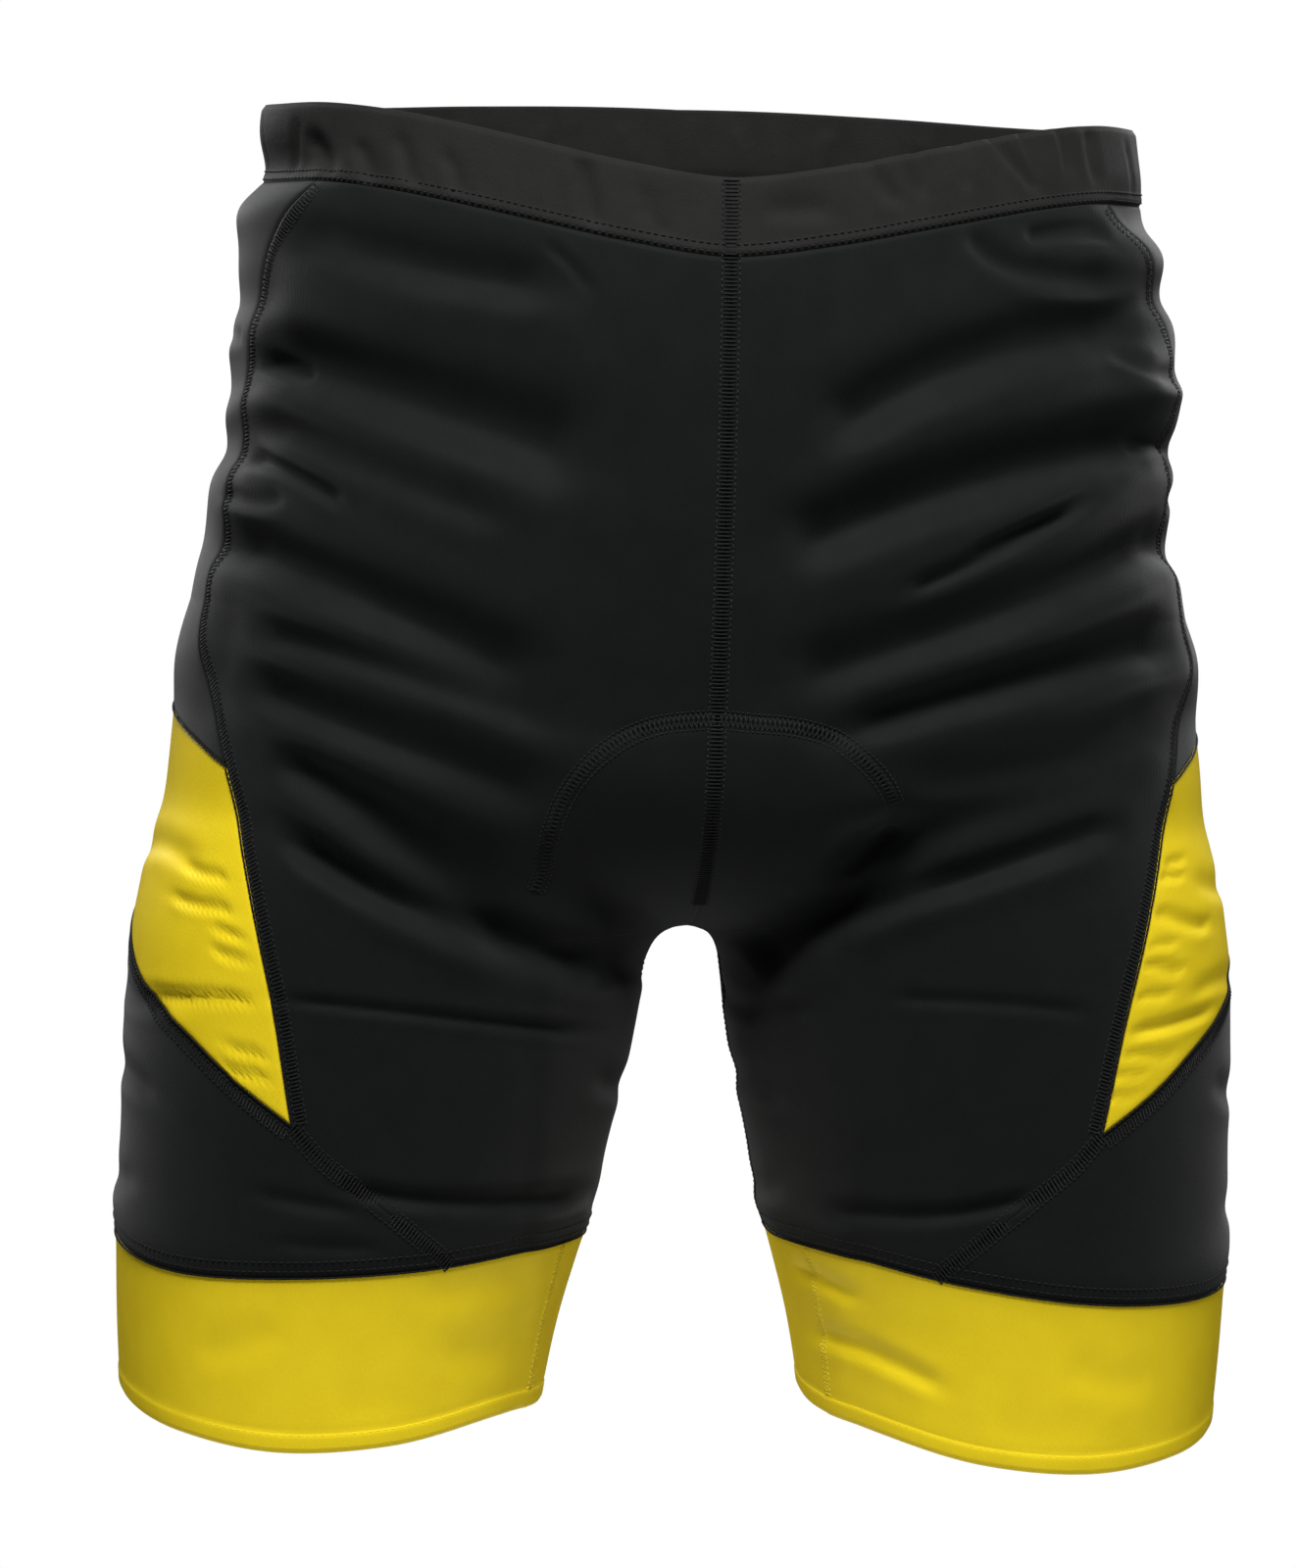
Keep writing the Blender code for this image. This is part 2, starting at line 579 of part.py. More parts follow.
def cloth_piece(name, cloth, wall, finish, garment, ring=False):
    """A closed solid between the outer face of the cloth and its inner face."""
    inset = seam_inset(cloth, ring)
    outer = (cloth.points + inset).reshape(-1, 3)
    inner = outer - cloth.normals.reshape(-1, 3) * wall
    rows, columns = cloth.points.shape[:2]
    mesh = bmesh.new()
    place = mesh.verts.layers.int.new("place")
    bmesh.ops.create_grid(mesh, x_segments=columns - 1, y_segments=rows - 1, size=1.0)
    for index, vert in enumerate(mesh.verts):
        vert[place] = index
        vert.co = inner[index]
    if ring:
        bmesh.ops.remove_doubles(mesh, verts=mesh.verts, dist=WELD)
    lifted = bmesh.ops.extrude_face_region(mesh, geom=mesh.faces[:])
    for item in lifted["geom"]:
        if isinstance(item, bmesh.types.BMVert):
            item.co = outer[item[place]]
    bmesh.ops.recalc_face_normals(mesh, faces=mesh.faces)
    data = bpy.data.meshes.new(name)
    mesh.to_mesh(data)
    mesh.free()
    data.shade_smooth()
    data.materials.append(finish)
    piece = bpy.data.objects.new(name, data)
    piece.parent = garment.hold
    garment.collection.objects.link(piece)
    return piece


Garment = namedtuple("Garment", "collection hold")


def start_garment():
    """An empty scene with a collection for the shorts and an empty where they are held."""
    for old in list(bpy.data.objects):
        bpy.data.objects.remove(old)
    collection = bpy.data.collections.new("cycling_shorts")
    bpy.context.scene.collection.children.link(collection)
    hold = bpy.data.objects.new("waist_hold", None)
    hold.empty_display_size = 0.05
    collection.objects.link(hold)
    return Garment(collection, hold)


def body_panels(body, leg, black, yellow, garment):
    """The front, side and back panels of one half."""
    front = (0, FRONT_COLUMNS)
    side = (FRONT_COLUMNS, FRONT_COLUMNS + SIDE_COLUMNS)
    back = (side[1], side[1] + BACK_COLUMNS)
    panels = (
        (f"front_{leg}", (0, LAST_ROW), front, black),
        (f"back_{leg}", (0, LAST_ROW), back, black),
        (f"side_upper_{leg}", (0, UPPER_ROWS), side, black),
        (f"side_yellow_{leg}", (UPPER_ROWS, CORNER_ROW), side, yellow),
        (f"side_lower_{leg}", (CORNER_ROW, LAST_ROW), side, black),
    )
    for name, rows, columns, finish in panels:
        cloth_piece(name, part_of(body, rows, columns), JERSEY_WALL, finish, garment)


def cuff(bearings, leg, side, yellow, garment):
    """One cuff: a ring from the seam down to the open hem."""
    top, bottom = (edge_height(table, bearings, leg) for table in (CUFF_SEAM, HEM))
    down = np.linspace(0, 1, CUFF_ROWS + 1)[:, None]
    heights = top + (bottom - top) * down
    ring = skin(np.broadcast_to(bearings, heights.shape), heights, side, meets_middle=False)
    cloth_piece(f"cuff_{leg}", ring, CUFF_WALL, yellow, garment, ring=True)


def waistband(bearings, black, garment):
    """The elastic band round the waist, one ring through both halves."""
    down = np.linspace(0, 1, BAND_ROWS + 1)[:, None]
    heights = edge_height(WAIST_EDGE, bearings) - BAND_HEIGHT * down
    spread = np.broadcast_to(bearings, heights.shape)
    left, right = (skin(spread, heights, side) for side in (1, -1))
    points = np.concatenate([left.points, right.points[:, -2::-1]], axis=1)
    normals = np.concatenate([left.normals, right.normals[:, -2::-1]], axis=1)
    cloth_piece("waistband", Skin(points, normals, 1), BAND_WALL, black, garment, ring=True)


def main():
    garment = start_garment()
    jersey, band, yellow = (principled(*f) for f in (BLACK_JERSEY, BLACK_BAND, YELLOW_JERSEY))
    for leg, side in (("left", 1), ("right", -1)):
        bearings, heights = half_net(leg)
        body = skin(bearings, heights, side)
        body_panels(body, leg, jersey, yellow, garment)
        cuff(bearings[-1], leg, side, yellow, garment)
    waistband(bearings[0], band, garment)


if __name__ == "__main__":
    main()
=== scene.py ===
"""Worn cycling shorts: jersey panels, elastic waistband, wide cuffs, seams and stitching.

The shorts keep the hollow form they have when worn. Frame, in metres: the origin is the middle of
the waist opening, +X is the wearer's left, -Y the front and +Z up. Left and right are the wearer's.

A point of one half is named by its height and its bearing, the angle in degrees round the axis of
that half: 0 at the front, 90 at the outer side, 180 at the back, and -90 or 270 at the inner side.
"""

import logging
import math
from collections.abc import Sequence
from dataclasses import astuple, dataclass
from enum import Enum
from functools import cached_property
from typing import TypeVar

import bpy
import numpy as np
from mathutils import Matrix, Vector


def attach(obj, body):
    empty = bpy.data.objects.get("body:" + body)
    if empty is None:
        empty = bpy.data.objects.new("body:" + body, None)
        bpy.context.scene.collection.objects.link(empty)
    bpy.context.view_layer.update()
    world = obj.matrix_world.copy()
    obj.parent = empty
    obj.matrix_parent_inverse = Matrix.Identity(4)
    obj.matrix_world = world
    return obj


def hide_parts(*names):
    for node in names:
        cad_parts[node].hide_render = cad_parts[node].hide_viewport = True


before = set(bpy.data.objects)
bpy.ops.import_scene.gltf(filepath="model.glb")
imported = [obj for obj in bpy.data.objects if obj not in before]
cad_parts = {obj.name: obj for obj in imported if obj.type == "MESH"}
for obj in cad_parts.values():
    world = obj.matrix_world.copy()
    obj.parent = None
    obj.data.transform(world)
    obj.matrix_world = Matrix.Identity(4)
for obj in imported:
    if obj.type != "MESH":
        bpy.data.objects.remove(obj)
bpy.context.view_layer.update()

Array = np.ndarray
Pair = tuple[float, float]
Point = tuple[float, float, float]
Colour = tuple[float, float, float, float]
Row = TypeVar("Row")

MILLIMETRE = 0.001
# Floors that keep a length or a division safe.
TINY = 1e-12
SMALL = 1e-6
# How many points a crease's path has.
PATH_POINTS = 9
# The phase of the wave texture, in radians, for each unit of its scale and of the way along.
WAVE_RATE = 20
BODY = "root"
log = logging.getLogger("cycling_shorts")


class Side(Enum):
    """The wearer's left or right half, as the sign of its x."""

    LEFT = 1
    RIGHT = -1

    @property
    def word(self) -> str:
        """The side as it stands in a piece's name."""
        return self.name.lower()


class Facing(Enum):
    """The front or the back of the garment, as the sign of its y."""

    FRONT = -1
    BACK = 1


class View(Enum):
    """The side that a crease is seen from: the axis across it, and the way to the viewer."""

    FRONT = (0, (0.0, -1.0, 0.0))
    BACK = (0, (0.0, 1.0, 0.0))
    LEFT = (1, (1.0, 0.0, 0.0))
    RIGHT = (1, (-1.0, 0.0, 0.0))


@dataclass(frozen=True)
class TrunkSection:
    """One level oval of the torso."""

    height: float
    half_width: float
    front: float
    back: float


@dataclass(frozen=True)
class LegSection:
    """One level oval of a leg."""

    height: float
    centre_x: float
    centre_y: float
    half_width: float
    front: float
    back: float


@dataclass(frozen=True)
class AxisPoint:
    """A point of the axis that bearings turn round."""

    height: float
    x: float
    y: float


@dataclass(frozen=True)
class EdgePoint:
    """The height of an edge at one bearing."""

    bearing: float
    height: float


@dataclass(frozen=True)
class LegEdge:
    """The height of an edge at one bearing on each leg."""

    bearing: float
    right: float
    left: float


@dataclass(frozen=True)
class SeamPoint:
    """The bearing of a seam at one height."""

    height: float
    bearing: float


@dataclass(frozen=True)
class ArcPoint:
    """A point of the pad's arc in the front view."""

    along: float
    x: float
    z: float


def rows_of(kind: type[Row], *rows: tuple[float, ...]) -> tuple[Row, ...]:
    """The rows of a table, each from its values in the order of the kind's fields."""
    return tuple(kind(*row) for row in rows)


class Curves:
    """Smooth curves through the columns of a table, level past its ends."""

    def __init__(self, rows: Sequence[object]) -> None:
        """Reads the table.

        Args:
            rows: dataclass rows whose first field is the place along the curves.
        """
        table = np.array([astuple(row) for row in rows], float)
        table = table[::-1] if table[0, 0] > table[-1, 0] else table
        self.places, self.values = table[:, 0], table[:, 1:]
        self.slopes = np.gradient(self.values, self.places, axis=0)

    def at(self, places: Array | float) -> list[Array]:
        """Reads every curve at some places.

        Args:
            places: where to read, in the unit of the first field.

        Returns:
            One array of values for each further field of the table.
        """
        at = np.clip(places, self.places[0], self.places[-1])
        i = np.clip(np.searchsorted(self.places, at) - 1, 0, len(self.places) - 2)
        span = self.places[i + 1] - self.places[i]
        s = (at - self.places[i]) / span
        found = []
        for value, slope in zip(self.values.T, self.slopes.T):
            start = (1 + 2 * s) * (1 - s) ** 2 * value[i] + s * (1 - s) ** 2 * span * slope[i]
            end = s * s * (3 - 2 * s) * value[i + 1] + s * s * (s - 1) * span * slope[i + 1]
            found.append(start + end)
        return found


def ease(value: Array | float, low: float, high: float) -> Array:
    """A smooth change that follows a value, from 0 at low to 1 at high."""
    t = np.clip((value - low) / (high - low), 0, 1)
    return t * t * (3 - 2 * t)


def unit(vectors: Array) -> Array:
    """The vectors at length 1."""
    return vectors / np.maximum(np.linalg.norm(vectors, axis=-1, keepdims=True), TINY)


def run_length(points: Array) -> Array:
    """How far along a line each of its points lies."""
    steps = np.linalg.norm(np.diff(points, axis=0), axis=1)
    return np.concatenate([[0], np.cumsum(steps)])


@dataclass(frozen=True)
class Oval:
    """A level oval tube, closed past its end by a rounded cap."""

    half_width: Array
    half_depth: Array
    squareness: float
    past: Array
    cap_depth: float

    def distance(self, across: Array, along: Array) -> Array:
        """About how far points lie outside the tube.

        Args:
            across: the points' offset along x.
            along: the points' offset along y.

        Returns:
            The distance, below 0 inside.
        """
        power = self.squareness
        u, v = np.abs(across) / self.half_width, np.abs(along) / self.half_depth
        ring = np.maximum((u**power + v**power) ** (1 / power), SMALL)
        rate_u = (u / ring) ** (power - 1) / self.half_width
        rate_v = (v / ring) ** (power - 1) / self.half_depth
        reach = np.sqrt(ring**2 + (self.past / self.cap_depth) ** 2)
        rate_cap = self.past / self.cap_depth**2 / np.maximum(reach, SMALL)
        rate = np.sqrt(np.maximum(rate_u**2 + rate_v**2, SMALL) + rate_cap**2)
        return (reach - 1) / rate


@dataclass(frozen=True)
class WornForm:
    """The general form that the cloth lies on: a torso blended into two legs, both halves alike."""

    trunk: tuple[TrunkSection, ...] = rows_of(
        TrunkSection,
        (0.040, 0.157, 0.104, 0.100),
        (0.010, 0.159, 0.109, 0.100),
        (-0.030, 0.164, 0.116, 0.103),
        (-0.060, 0.168, 0.120, 0.110),
        (-0.100, 0.170, 0.121, 0.122),
        (-0.140, 0.171, 0.119, 0.131),
        (-0.180, 0.173, 0.114, 0.133),
        (-0.210, 0.173, 0.107, 0.127),
    )
    leg: tuple[LegSection, ...] = rows_of(
        LegSection,
        (-0.170, 0.088, 0.006, 0.078, 0.098, 0.108),
        (-0.215, 0.096, 0.005, 0.085, 0.099, 0.108),
        (-0.250, 0.102, 0.004, 0.091, 0.099, 0.105),
        (-0.285, 0.107, 0.004, 0.094, 0.098, 0.101),
        (-0.325, 0.111, 0.005, 0.093, 0.094, 0.095),
        (-0.360, 0.115, 0.006, 0.0895, 0.089, 0.090),
        (-0.395, 0.1195, 0.008, 0.086, 0.085, 0.086),
        (-0.430, 0.124, 0.010, 0.081, 0.080, 0.081),
        (-0.480, 0.127, 0.012, 0.075, 0.075, 0.076),
    )
    axis: tuple[AxisPoint, ...] = rows_of(
        AxisPoint,
        (0.040, 0.060, 0.000), (-0.100, 0.070, 0.002), (-0.200, 0.090, 0.004),
        (-0.285, 0.107, 0.002), (-0.360, 0.115, 0.006), (-0.480, 0.127, 0.012),
    )
    trunk_squareness: float = 2.15
    leg_squareness: float = 2.1
    fork_depth: float = 0.075
    leg_top_depth: float = 0.060
    hip_blend: float = 0.045
    fork_blend: float = 0.014
    hip_blend_end: float = -0.215
    fork_blend_start: float = -0.275
    step: float = 0.0001
    nearest: float = 0.004
    farthest: float = 0.260
    halvings: int = 26
    fork_depths: Pair = (-0.040, 0.050)
    fork_heights: Pair = (-0.250, -0.320)
    fork_steps: tuple[int, int] = (181, 701)

    @cached_property
    def trunk_curves(self) -> Curves:
        """The torso's sections as curves."""
        return Curves(self.trunk)

    @cached_property
    def leg_curves(self) -> Curves:
        """The leg's sections as curves."""
        return Curves(self.leg)

    @cached_property
    def axis_curves(self) -> Curves:
        """The axis as curves."""
        return Curves(self.axis)

    def distance(self, points: Array) -> Array:
        """About how far points lie outside the form.

        Args:
            points: an array whose last axis is x, y, z.

        Returns:
            The distances, below 0 inside.
        """
        x, y, z = np.abs(points[..., 0]), points[..., 1], points[..., 2]
        half_width, front, back = self.trunk_curves.at(z)
        past = np.maximum(self.trunk[-1].height - z, 0)
        depth = np.where(y < 0, front, back)
        torso = Oval(half_width, depth, self.trunk_squareness, past, self.fork_depth)
        to_trunk = torso.distance(x, y)
        centre_x, centre_y, half_width, front, back = self.leg_curves.at(z)
        past = np.maximum(z - self.leg[0].height, 0)
        depth = np.where(y < centre_y, front, back)
        leg = Oval(half_width, depth, self.leg_squareness, past, self.leg_top_depth)
        to_leg = leg.distance(x - centre_x, y - centre_y)
        tight = ease(-z, -self.hip_blend_end, -self.fork_blend_start)
        blend = self.hip_blend + (self.fork_blend - self.hip_blend) * tight
        share = np.clip(0.5 + 0.5 * (to_leg - to_trunk) / blend, 0, 1)
        return to_leg + (to_trunk - to_leg) * share - blend * share * (1 - share)

    def normals(self, points: Array) -> Array:
        """The form's outward unit normals, which lie in the middle plane where the points do.

        Args:
            points: points near the form.

        Returns:
            The normals.
        """
        found = np.empty(points.shape)
        for axis, step in enumerate(np.eye(3) * self.step):
            found[..., axis] = self.distance(points + step) - self.distance(points - step)
        found[np.abs(points[..., 0]) < self.step, 0] = 0
        return unit(found)

    def cast(self, start: Array, direction: Array) -> Array:
        """Where rays from inside leave the form.

        Args:
            start: the rays' first points.
            direction: their unit directions.

        Returns:
            The points where they leave it, found by halving.
        """
        near = np.full(start.shape[:-1], self.nearest)
        far = np.full(start.shape[:-1], self.farthest)
        for _ in range(self.halvings):
            middle = (near + far) / 2
            point = start + direction * middle[..., None]
            inside = (self.distance(point) < 0) & (point[..., 0] > -self.step)
            near, far = np.where(inside, middle, near), np.where(inside, far, middle)
        return start + direction * near[..., None]

    @cached_property
    def fork(self) -> Array:
        """The lowest point of the torso in the middle plane, between the legs.

        Returns:
            The point, looked for in steps of half a millimetre across and a tenth down.
        """
        across, down = self.fork_steps
        depths = np.linspace(*self.fork_depths, across)
        y, z = np.meshgrid(depths, np.linspace(*self.fork_heights, down))
        depth = self.distance(np.stack([np.zeros_like(y), y, z], axis=-1))
        row = np.flatnonzero((depth < 0).any(axis=1)).max()
        return np.array([0.0, y[row, np.argmin(depth[row])], z[row, 0]])

    def axis_at(self, heights: Array) -> Array:
        """The points of the left half's axis at some heights."""
        x, y = self.axis_curves.at(heights)
        return np.stack([x, y, heights], axis=-1)

    def surface(self, bearings: Array, heights: Array) -> Array:
        """The points of the left half at some bearings and heights.

        Args:
            bearings: the points' bearings.
            heights: their heights.

        Returns:
            The points on the form.
        """
        angles = np.radians(bearings - 90)
        direction = np.stack([np.cos(angles), np.sin(angles), np.zeros_like(angles)], axis=-1)
        return self.cast(self.axis_at(heights), direction)

    def locate(self, points: Array) -> tuple[Array, Array]:
        """The bearings and heights of points of the left half.

        Args:
            points: the points.

        Returns:
            Their bearings and their heights.
        """
        offset = points - self.axis_at(points[..., 2])
        bearings = np.degrees(np.arctan2(offset[..., 1], offset[..., 0])) + 90
        return bearings, points[..., 2]

    def middle(self, heights: Array, facing: Facing) -> Array:
        """The form's points in the middle plane, in front or behind, at heights above the fork."""
        start = np.stack([0 * heights, 0 * heights + self.fork[1], heights], axis=-1)
        return self.cast(start, np.array([0.0, float(facing.value), 0.0]))

    def middle_bearings(self, heights: Array, facing: Facing) -> Array:
        """The bearings of the middle seam, which ends on the inner side of the leg at the fork.

        Args:
            heights: the heights to read it at.
            facing: the front or the back.

        Returns:
            The bearings, -90 or 270 below the fork.
        """
        above = heights > self.fork[2] + self.step
        points = self.middle(np.maximum(heights, self.fork[2] + self.step), facing)
        offset = points - self.axis_at(heights)
        bearings = np.degrees(np.arctan2(offset[..., 1], offset[..., 0])) + 90
        wraps = (facing is Facing.BACK) & (bearings < 0)
        return np.where(above, np.where(wraps, bearings + 360, bearings), 90 + 180 * facing.value)

    def middle_line(self, heights: Array, facing: Facing) -> Array:
        """The middle seam down to the fork, then the inner side of the leg.

        Args:
            heights: the heights of its points.
            facing: the front or the back.

        Returns:
            The points on the form.
        """
        above = heights > self.fork[2] + self.step
        middle = self.middle(np.maximum(heights, self.fork[2] + self.step), facing)
        inner = self.surface(np.full_like(heights, 90 + 180 * facing.value), heights)
        line = np.where(above[:, None], middle, inner)
        line[np.abs(heights - self.fork[2]) <= self.step] = self.fork
        return line

    def half(self, bearings: Array, heights: Array) -> Array:
        """The points of a grid on the left half, with its outer columns on the middle line.

        Args:
            bearings: the grid's bearings, from the middle in front to the middle behind.
            heights: its heights.

        Returns:
            The points on the form.
        """
        points = self.surface(bearings, heights)
        points[:, 0] = self.middle_line(heights[:, 0], Facing.FRONT)
        points[:, -1] = self.middle_line(heights[:, -1], Facing.BACK)
        return points


@dataclass(frozen=True)
class Cut:
    """Where the edges and seams of the pieces run on the form."""

    waist: tuple[EdgePoint, ...] = rows_of(
        EdgePoint,
        (-44, -0.0190), (-28, -0.0207), (-14, -0.0160), (0, -0.0100), (15, -0.0040), (30, 0.0010),
        (48, 0.0050), (72, 0.0070), (90, 0.0090), (130, 0.0140), (170, 0.0190), (208, 0.0210),
        (225, 0.0200),
    )
    yellow_top: tuple[EdgePoint, ...] = rows_of(
        EdgePoint,
        (46, -0.228), (58, -0.2205), (75, -0.213), (90, -0.209), (122, -0.205),
    )
    diagonal: tuple[EdgePoint, ...] = rows_of(
        EdgePoint,
        (18.5, -0.352), (33, -0.337), (45, -0.324), (58, -0.313), (70, -0.304), (82, -0.294),
        (100, -0.282), (125, -0.272),
    )
    cuff_seam: tuple[LegEdge, ...] = rows_of(
        LegEdge,
        (-90, -0.3980, -0.3975), (-45, -0.3990, -0.4000), (-15, -0.4035, -0.4075),
        (15, -0.4065, -0.4135), (45, -0.4080, -0.4155), (90, -0.4015, -0.4120),
        (135, -0.3990, -0.4070), (180, -0.3980, -0.4030), (225, -0.3980, -0.3995),
        (270, -0.3980, -0.3975),
    )
    hem: tuple[LegEdge, ...] = rows_of(
        LegEdge,
        (-90, -0.4620, -0.4590), (-45, -0.4615, -0.4660), (-15, -0.4680, -0.4740),
        (15, -0.4705, -0.4770), (45, -0.4665, -0.4735), (90, -0.4580, -0.4655),
        (135, -0.4580, -0.4640), (180, -0.4600, -0.4630), (225, -0.4610, -0.4605),
        (270, -0.4620, -0.4590),
    )
    side_front: tuple[SeamPoint, ...] = rows_of(
        SeamPoint,
        (0.012, 46), (-0.018, 49), (-0.045, 62), (-0.075, 68.5), (-0.110, 68), (-0.150, 67),
        (-0.185, 63.5), (-0.205, 55.5), (-0.228, 47), (-0.260, 37), (-0.300, 27), (-0.352, 18.5),
    )
    front_diagonal: tuple[SeamPoint, ...] = rows_of(
        SeamPoint,
        (-0.352, 18.5), (-0.363, 12), (-0.375, 2), (-0.3855, -7), (-0.396, -16), (-0.405, -23.5),
    )
    side_back: tuple[SeamPoint, ...] = rows_of(
        SeamPoint,
        (0.020, 128), (-0.100, 124), (-0.205, 122), (-0.272, 125), (-0.405, 130),
    )
    band_height: float = 0.0275
    inner_seam: Pair = (-59.5, -63.0)
    start_rounds: int = 4

    @cached_property
    def curves(self) -> dict[str, Curves]:
        """Every edge and seam as a curve.

        Returns:
            The curves, by the names of their tables.
        """
        tables = ("waist", "yellow_top", "diagonal", "cuff_seam", "hem")
        seams = ("side_front", "front_diagonal", "side_back")
        return {name: Curves(getattr(self, name)) for name in tables + seams}

    def waist_edge(self, bearings: Array | float) -> Array:
        """The height of the waistband's upper edge."""
        return self.curves["waist"].at(bearings)[0]

    def band_seam(self, bearings: Array | float) -> Array:
        """The height of the seam under the waistband."""
        return self.waist_edge(bearings) - self.band_height

    def leg_edge(self, name: str, bearings: Array | float, sides: Array | float) -> Array:
        """The height of cuff_seam or hem, where sides is 1 on the left leg and -1 on the right."""
        right, left = self.curves[name].at(bearings)
        return np.where(np.asarray(sides) > 0, left, right)

    def inner_seam_at(self, down: Array) -> Array:
        """The bearing of a cuff's inner seam at a share of the way down the cuff."""
        return self.inner_seam[0] + (self.inner_seam[1] - self.inner_seam[0]) * down

    def seam_start(self, name: str) -> float:
        """The bearing where a side seam leaves the waistband.

        Args:
            name: side_front or side_back.

        Returns:
            The bearing.
        """
        bearing = getattr(self, name)[0].bearing
        for _ in range(self.start_rounds):
            bearing = self.curves[name].at(self.band_seam(bearing))[0]
        return float(bearing)

    def side_front_bearings(self, heights: Array, bottom: float) -> Array:
        """The bearing of the side front seam and, below the side panel's tip, of the diagonal.

        Args:
            heights: where to read it.
            bottom: the height where it meets the cuff.

        Returns:
            The bearings.
        """
        corner, end = self.front_diagonal[0], self.front_diagonal[-1]
        share = (corner.height - heights) / (corner.height - bottom)
        heights_on_diagonal = corner.height + (end.height - corner.height) * share
        lower = self.curves["front_diagonal"].at(heights_on_diagonal)[0]
        return np.where(heights < corner.height, lower, self.curves["side_front"].at(heights)[0])


@dataclass(frozen=True)
class Crease:
    """A soft trough in the cloth along a curve through three points, in millimetres of its view.

    The cloth falls slowly into it from above and rises faster to a low ridge below it.
    """

    view: View
    start: Pair
    middle: Pair
    end: Pair
    widths: Pair
    depth: float

    @property
    def path(self) -> Array:
        """The points along the crease.

        Returns:
            The points in metres, on a smooth curve.
        """
        start, middle, end = (np.array(p) * MILLIMETRE for p in (self.start, self.middle, self.end))
        pull = 2 * middle - (start + end) / 2
        t = np.linspace(0, 1, PATH_POINTS)[:, None]
        return (1 - t) ** 2 * start + 2 * t * (1 - t) * pull + t * t * end


def creases_of(view: View, *rows: tuple[Pair, Pair, Pair, Pair, float]) -> tuple[Crease, ...]:
    """The creases of one view, from start, middle, end, widths and depth in millimetres."""
    return tuple(Crease(view, *row) for row in rows)


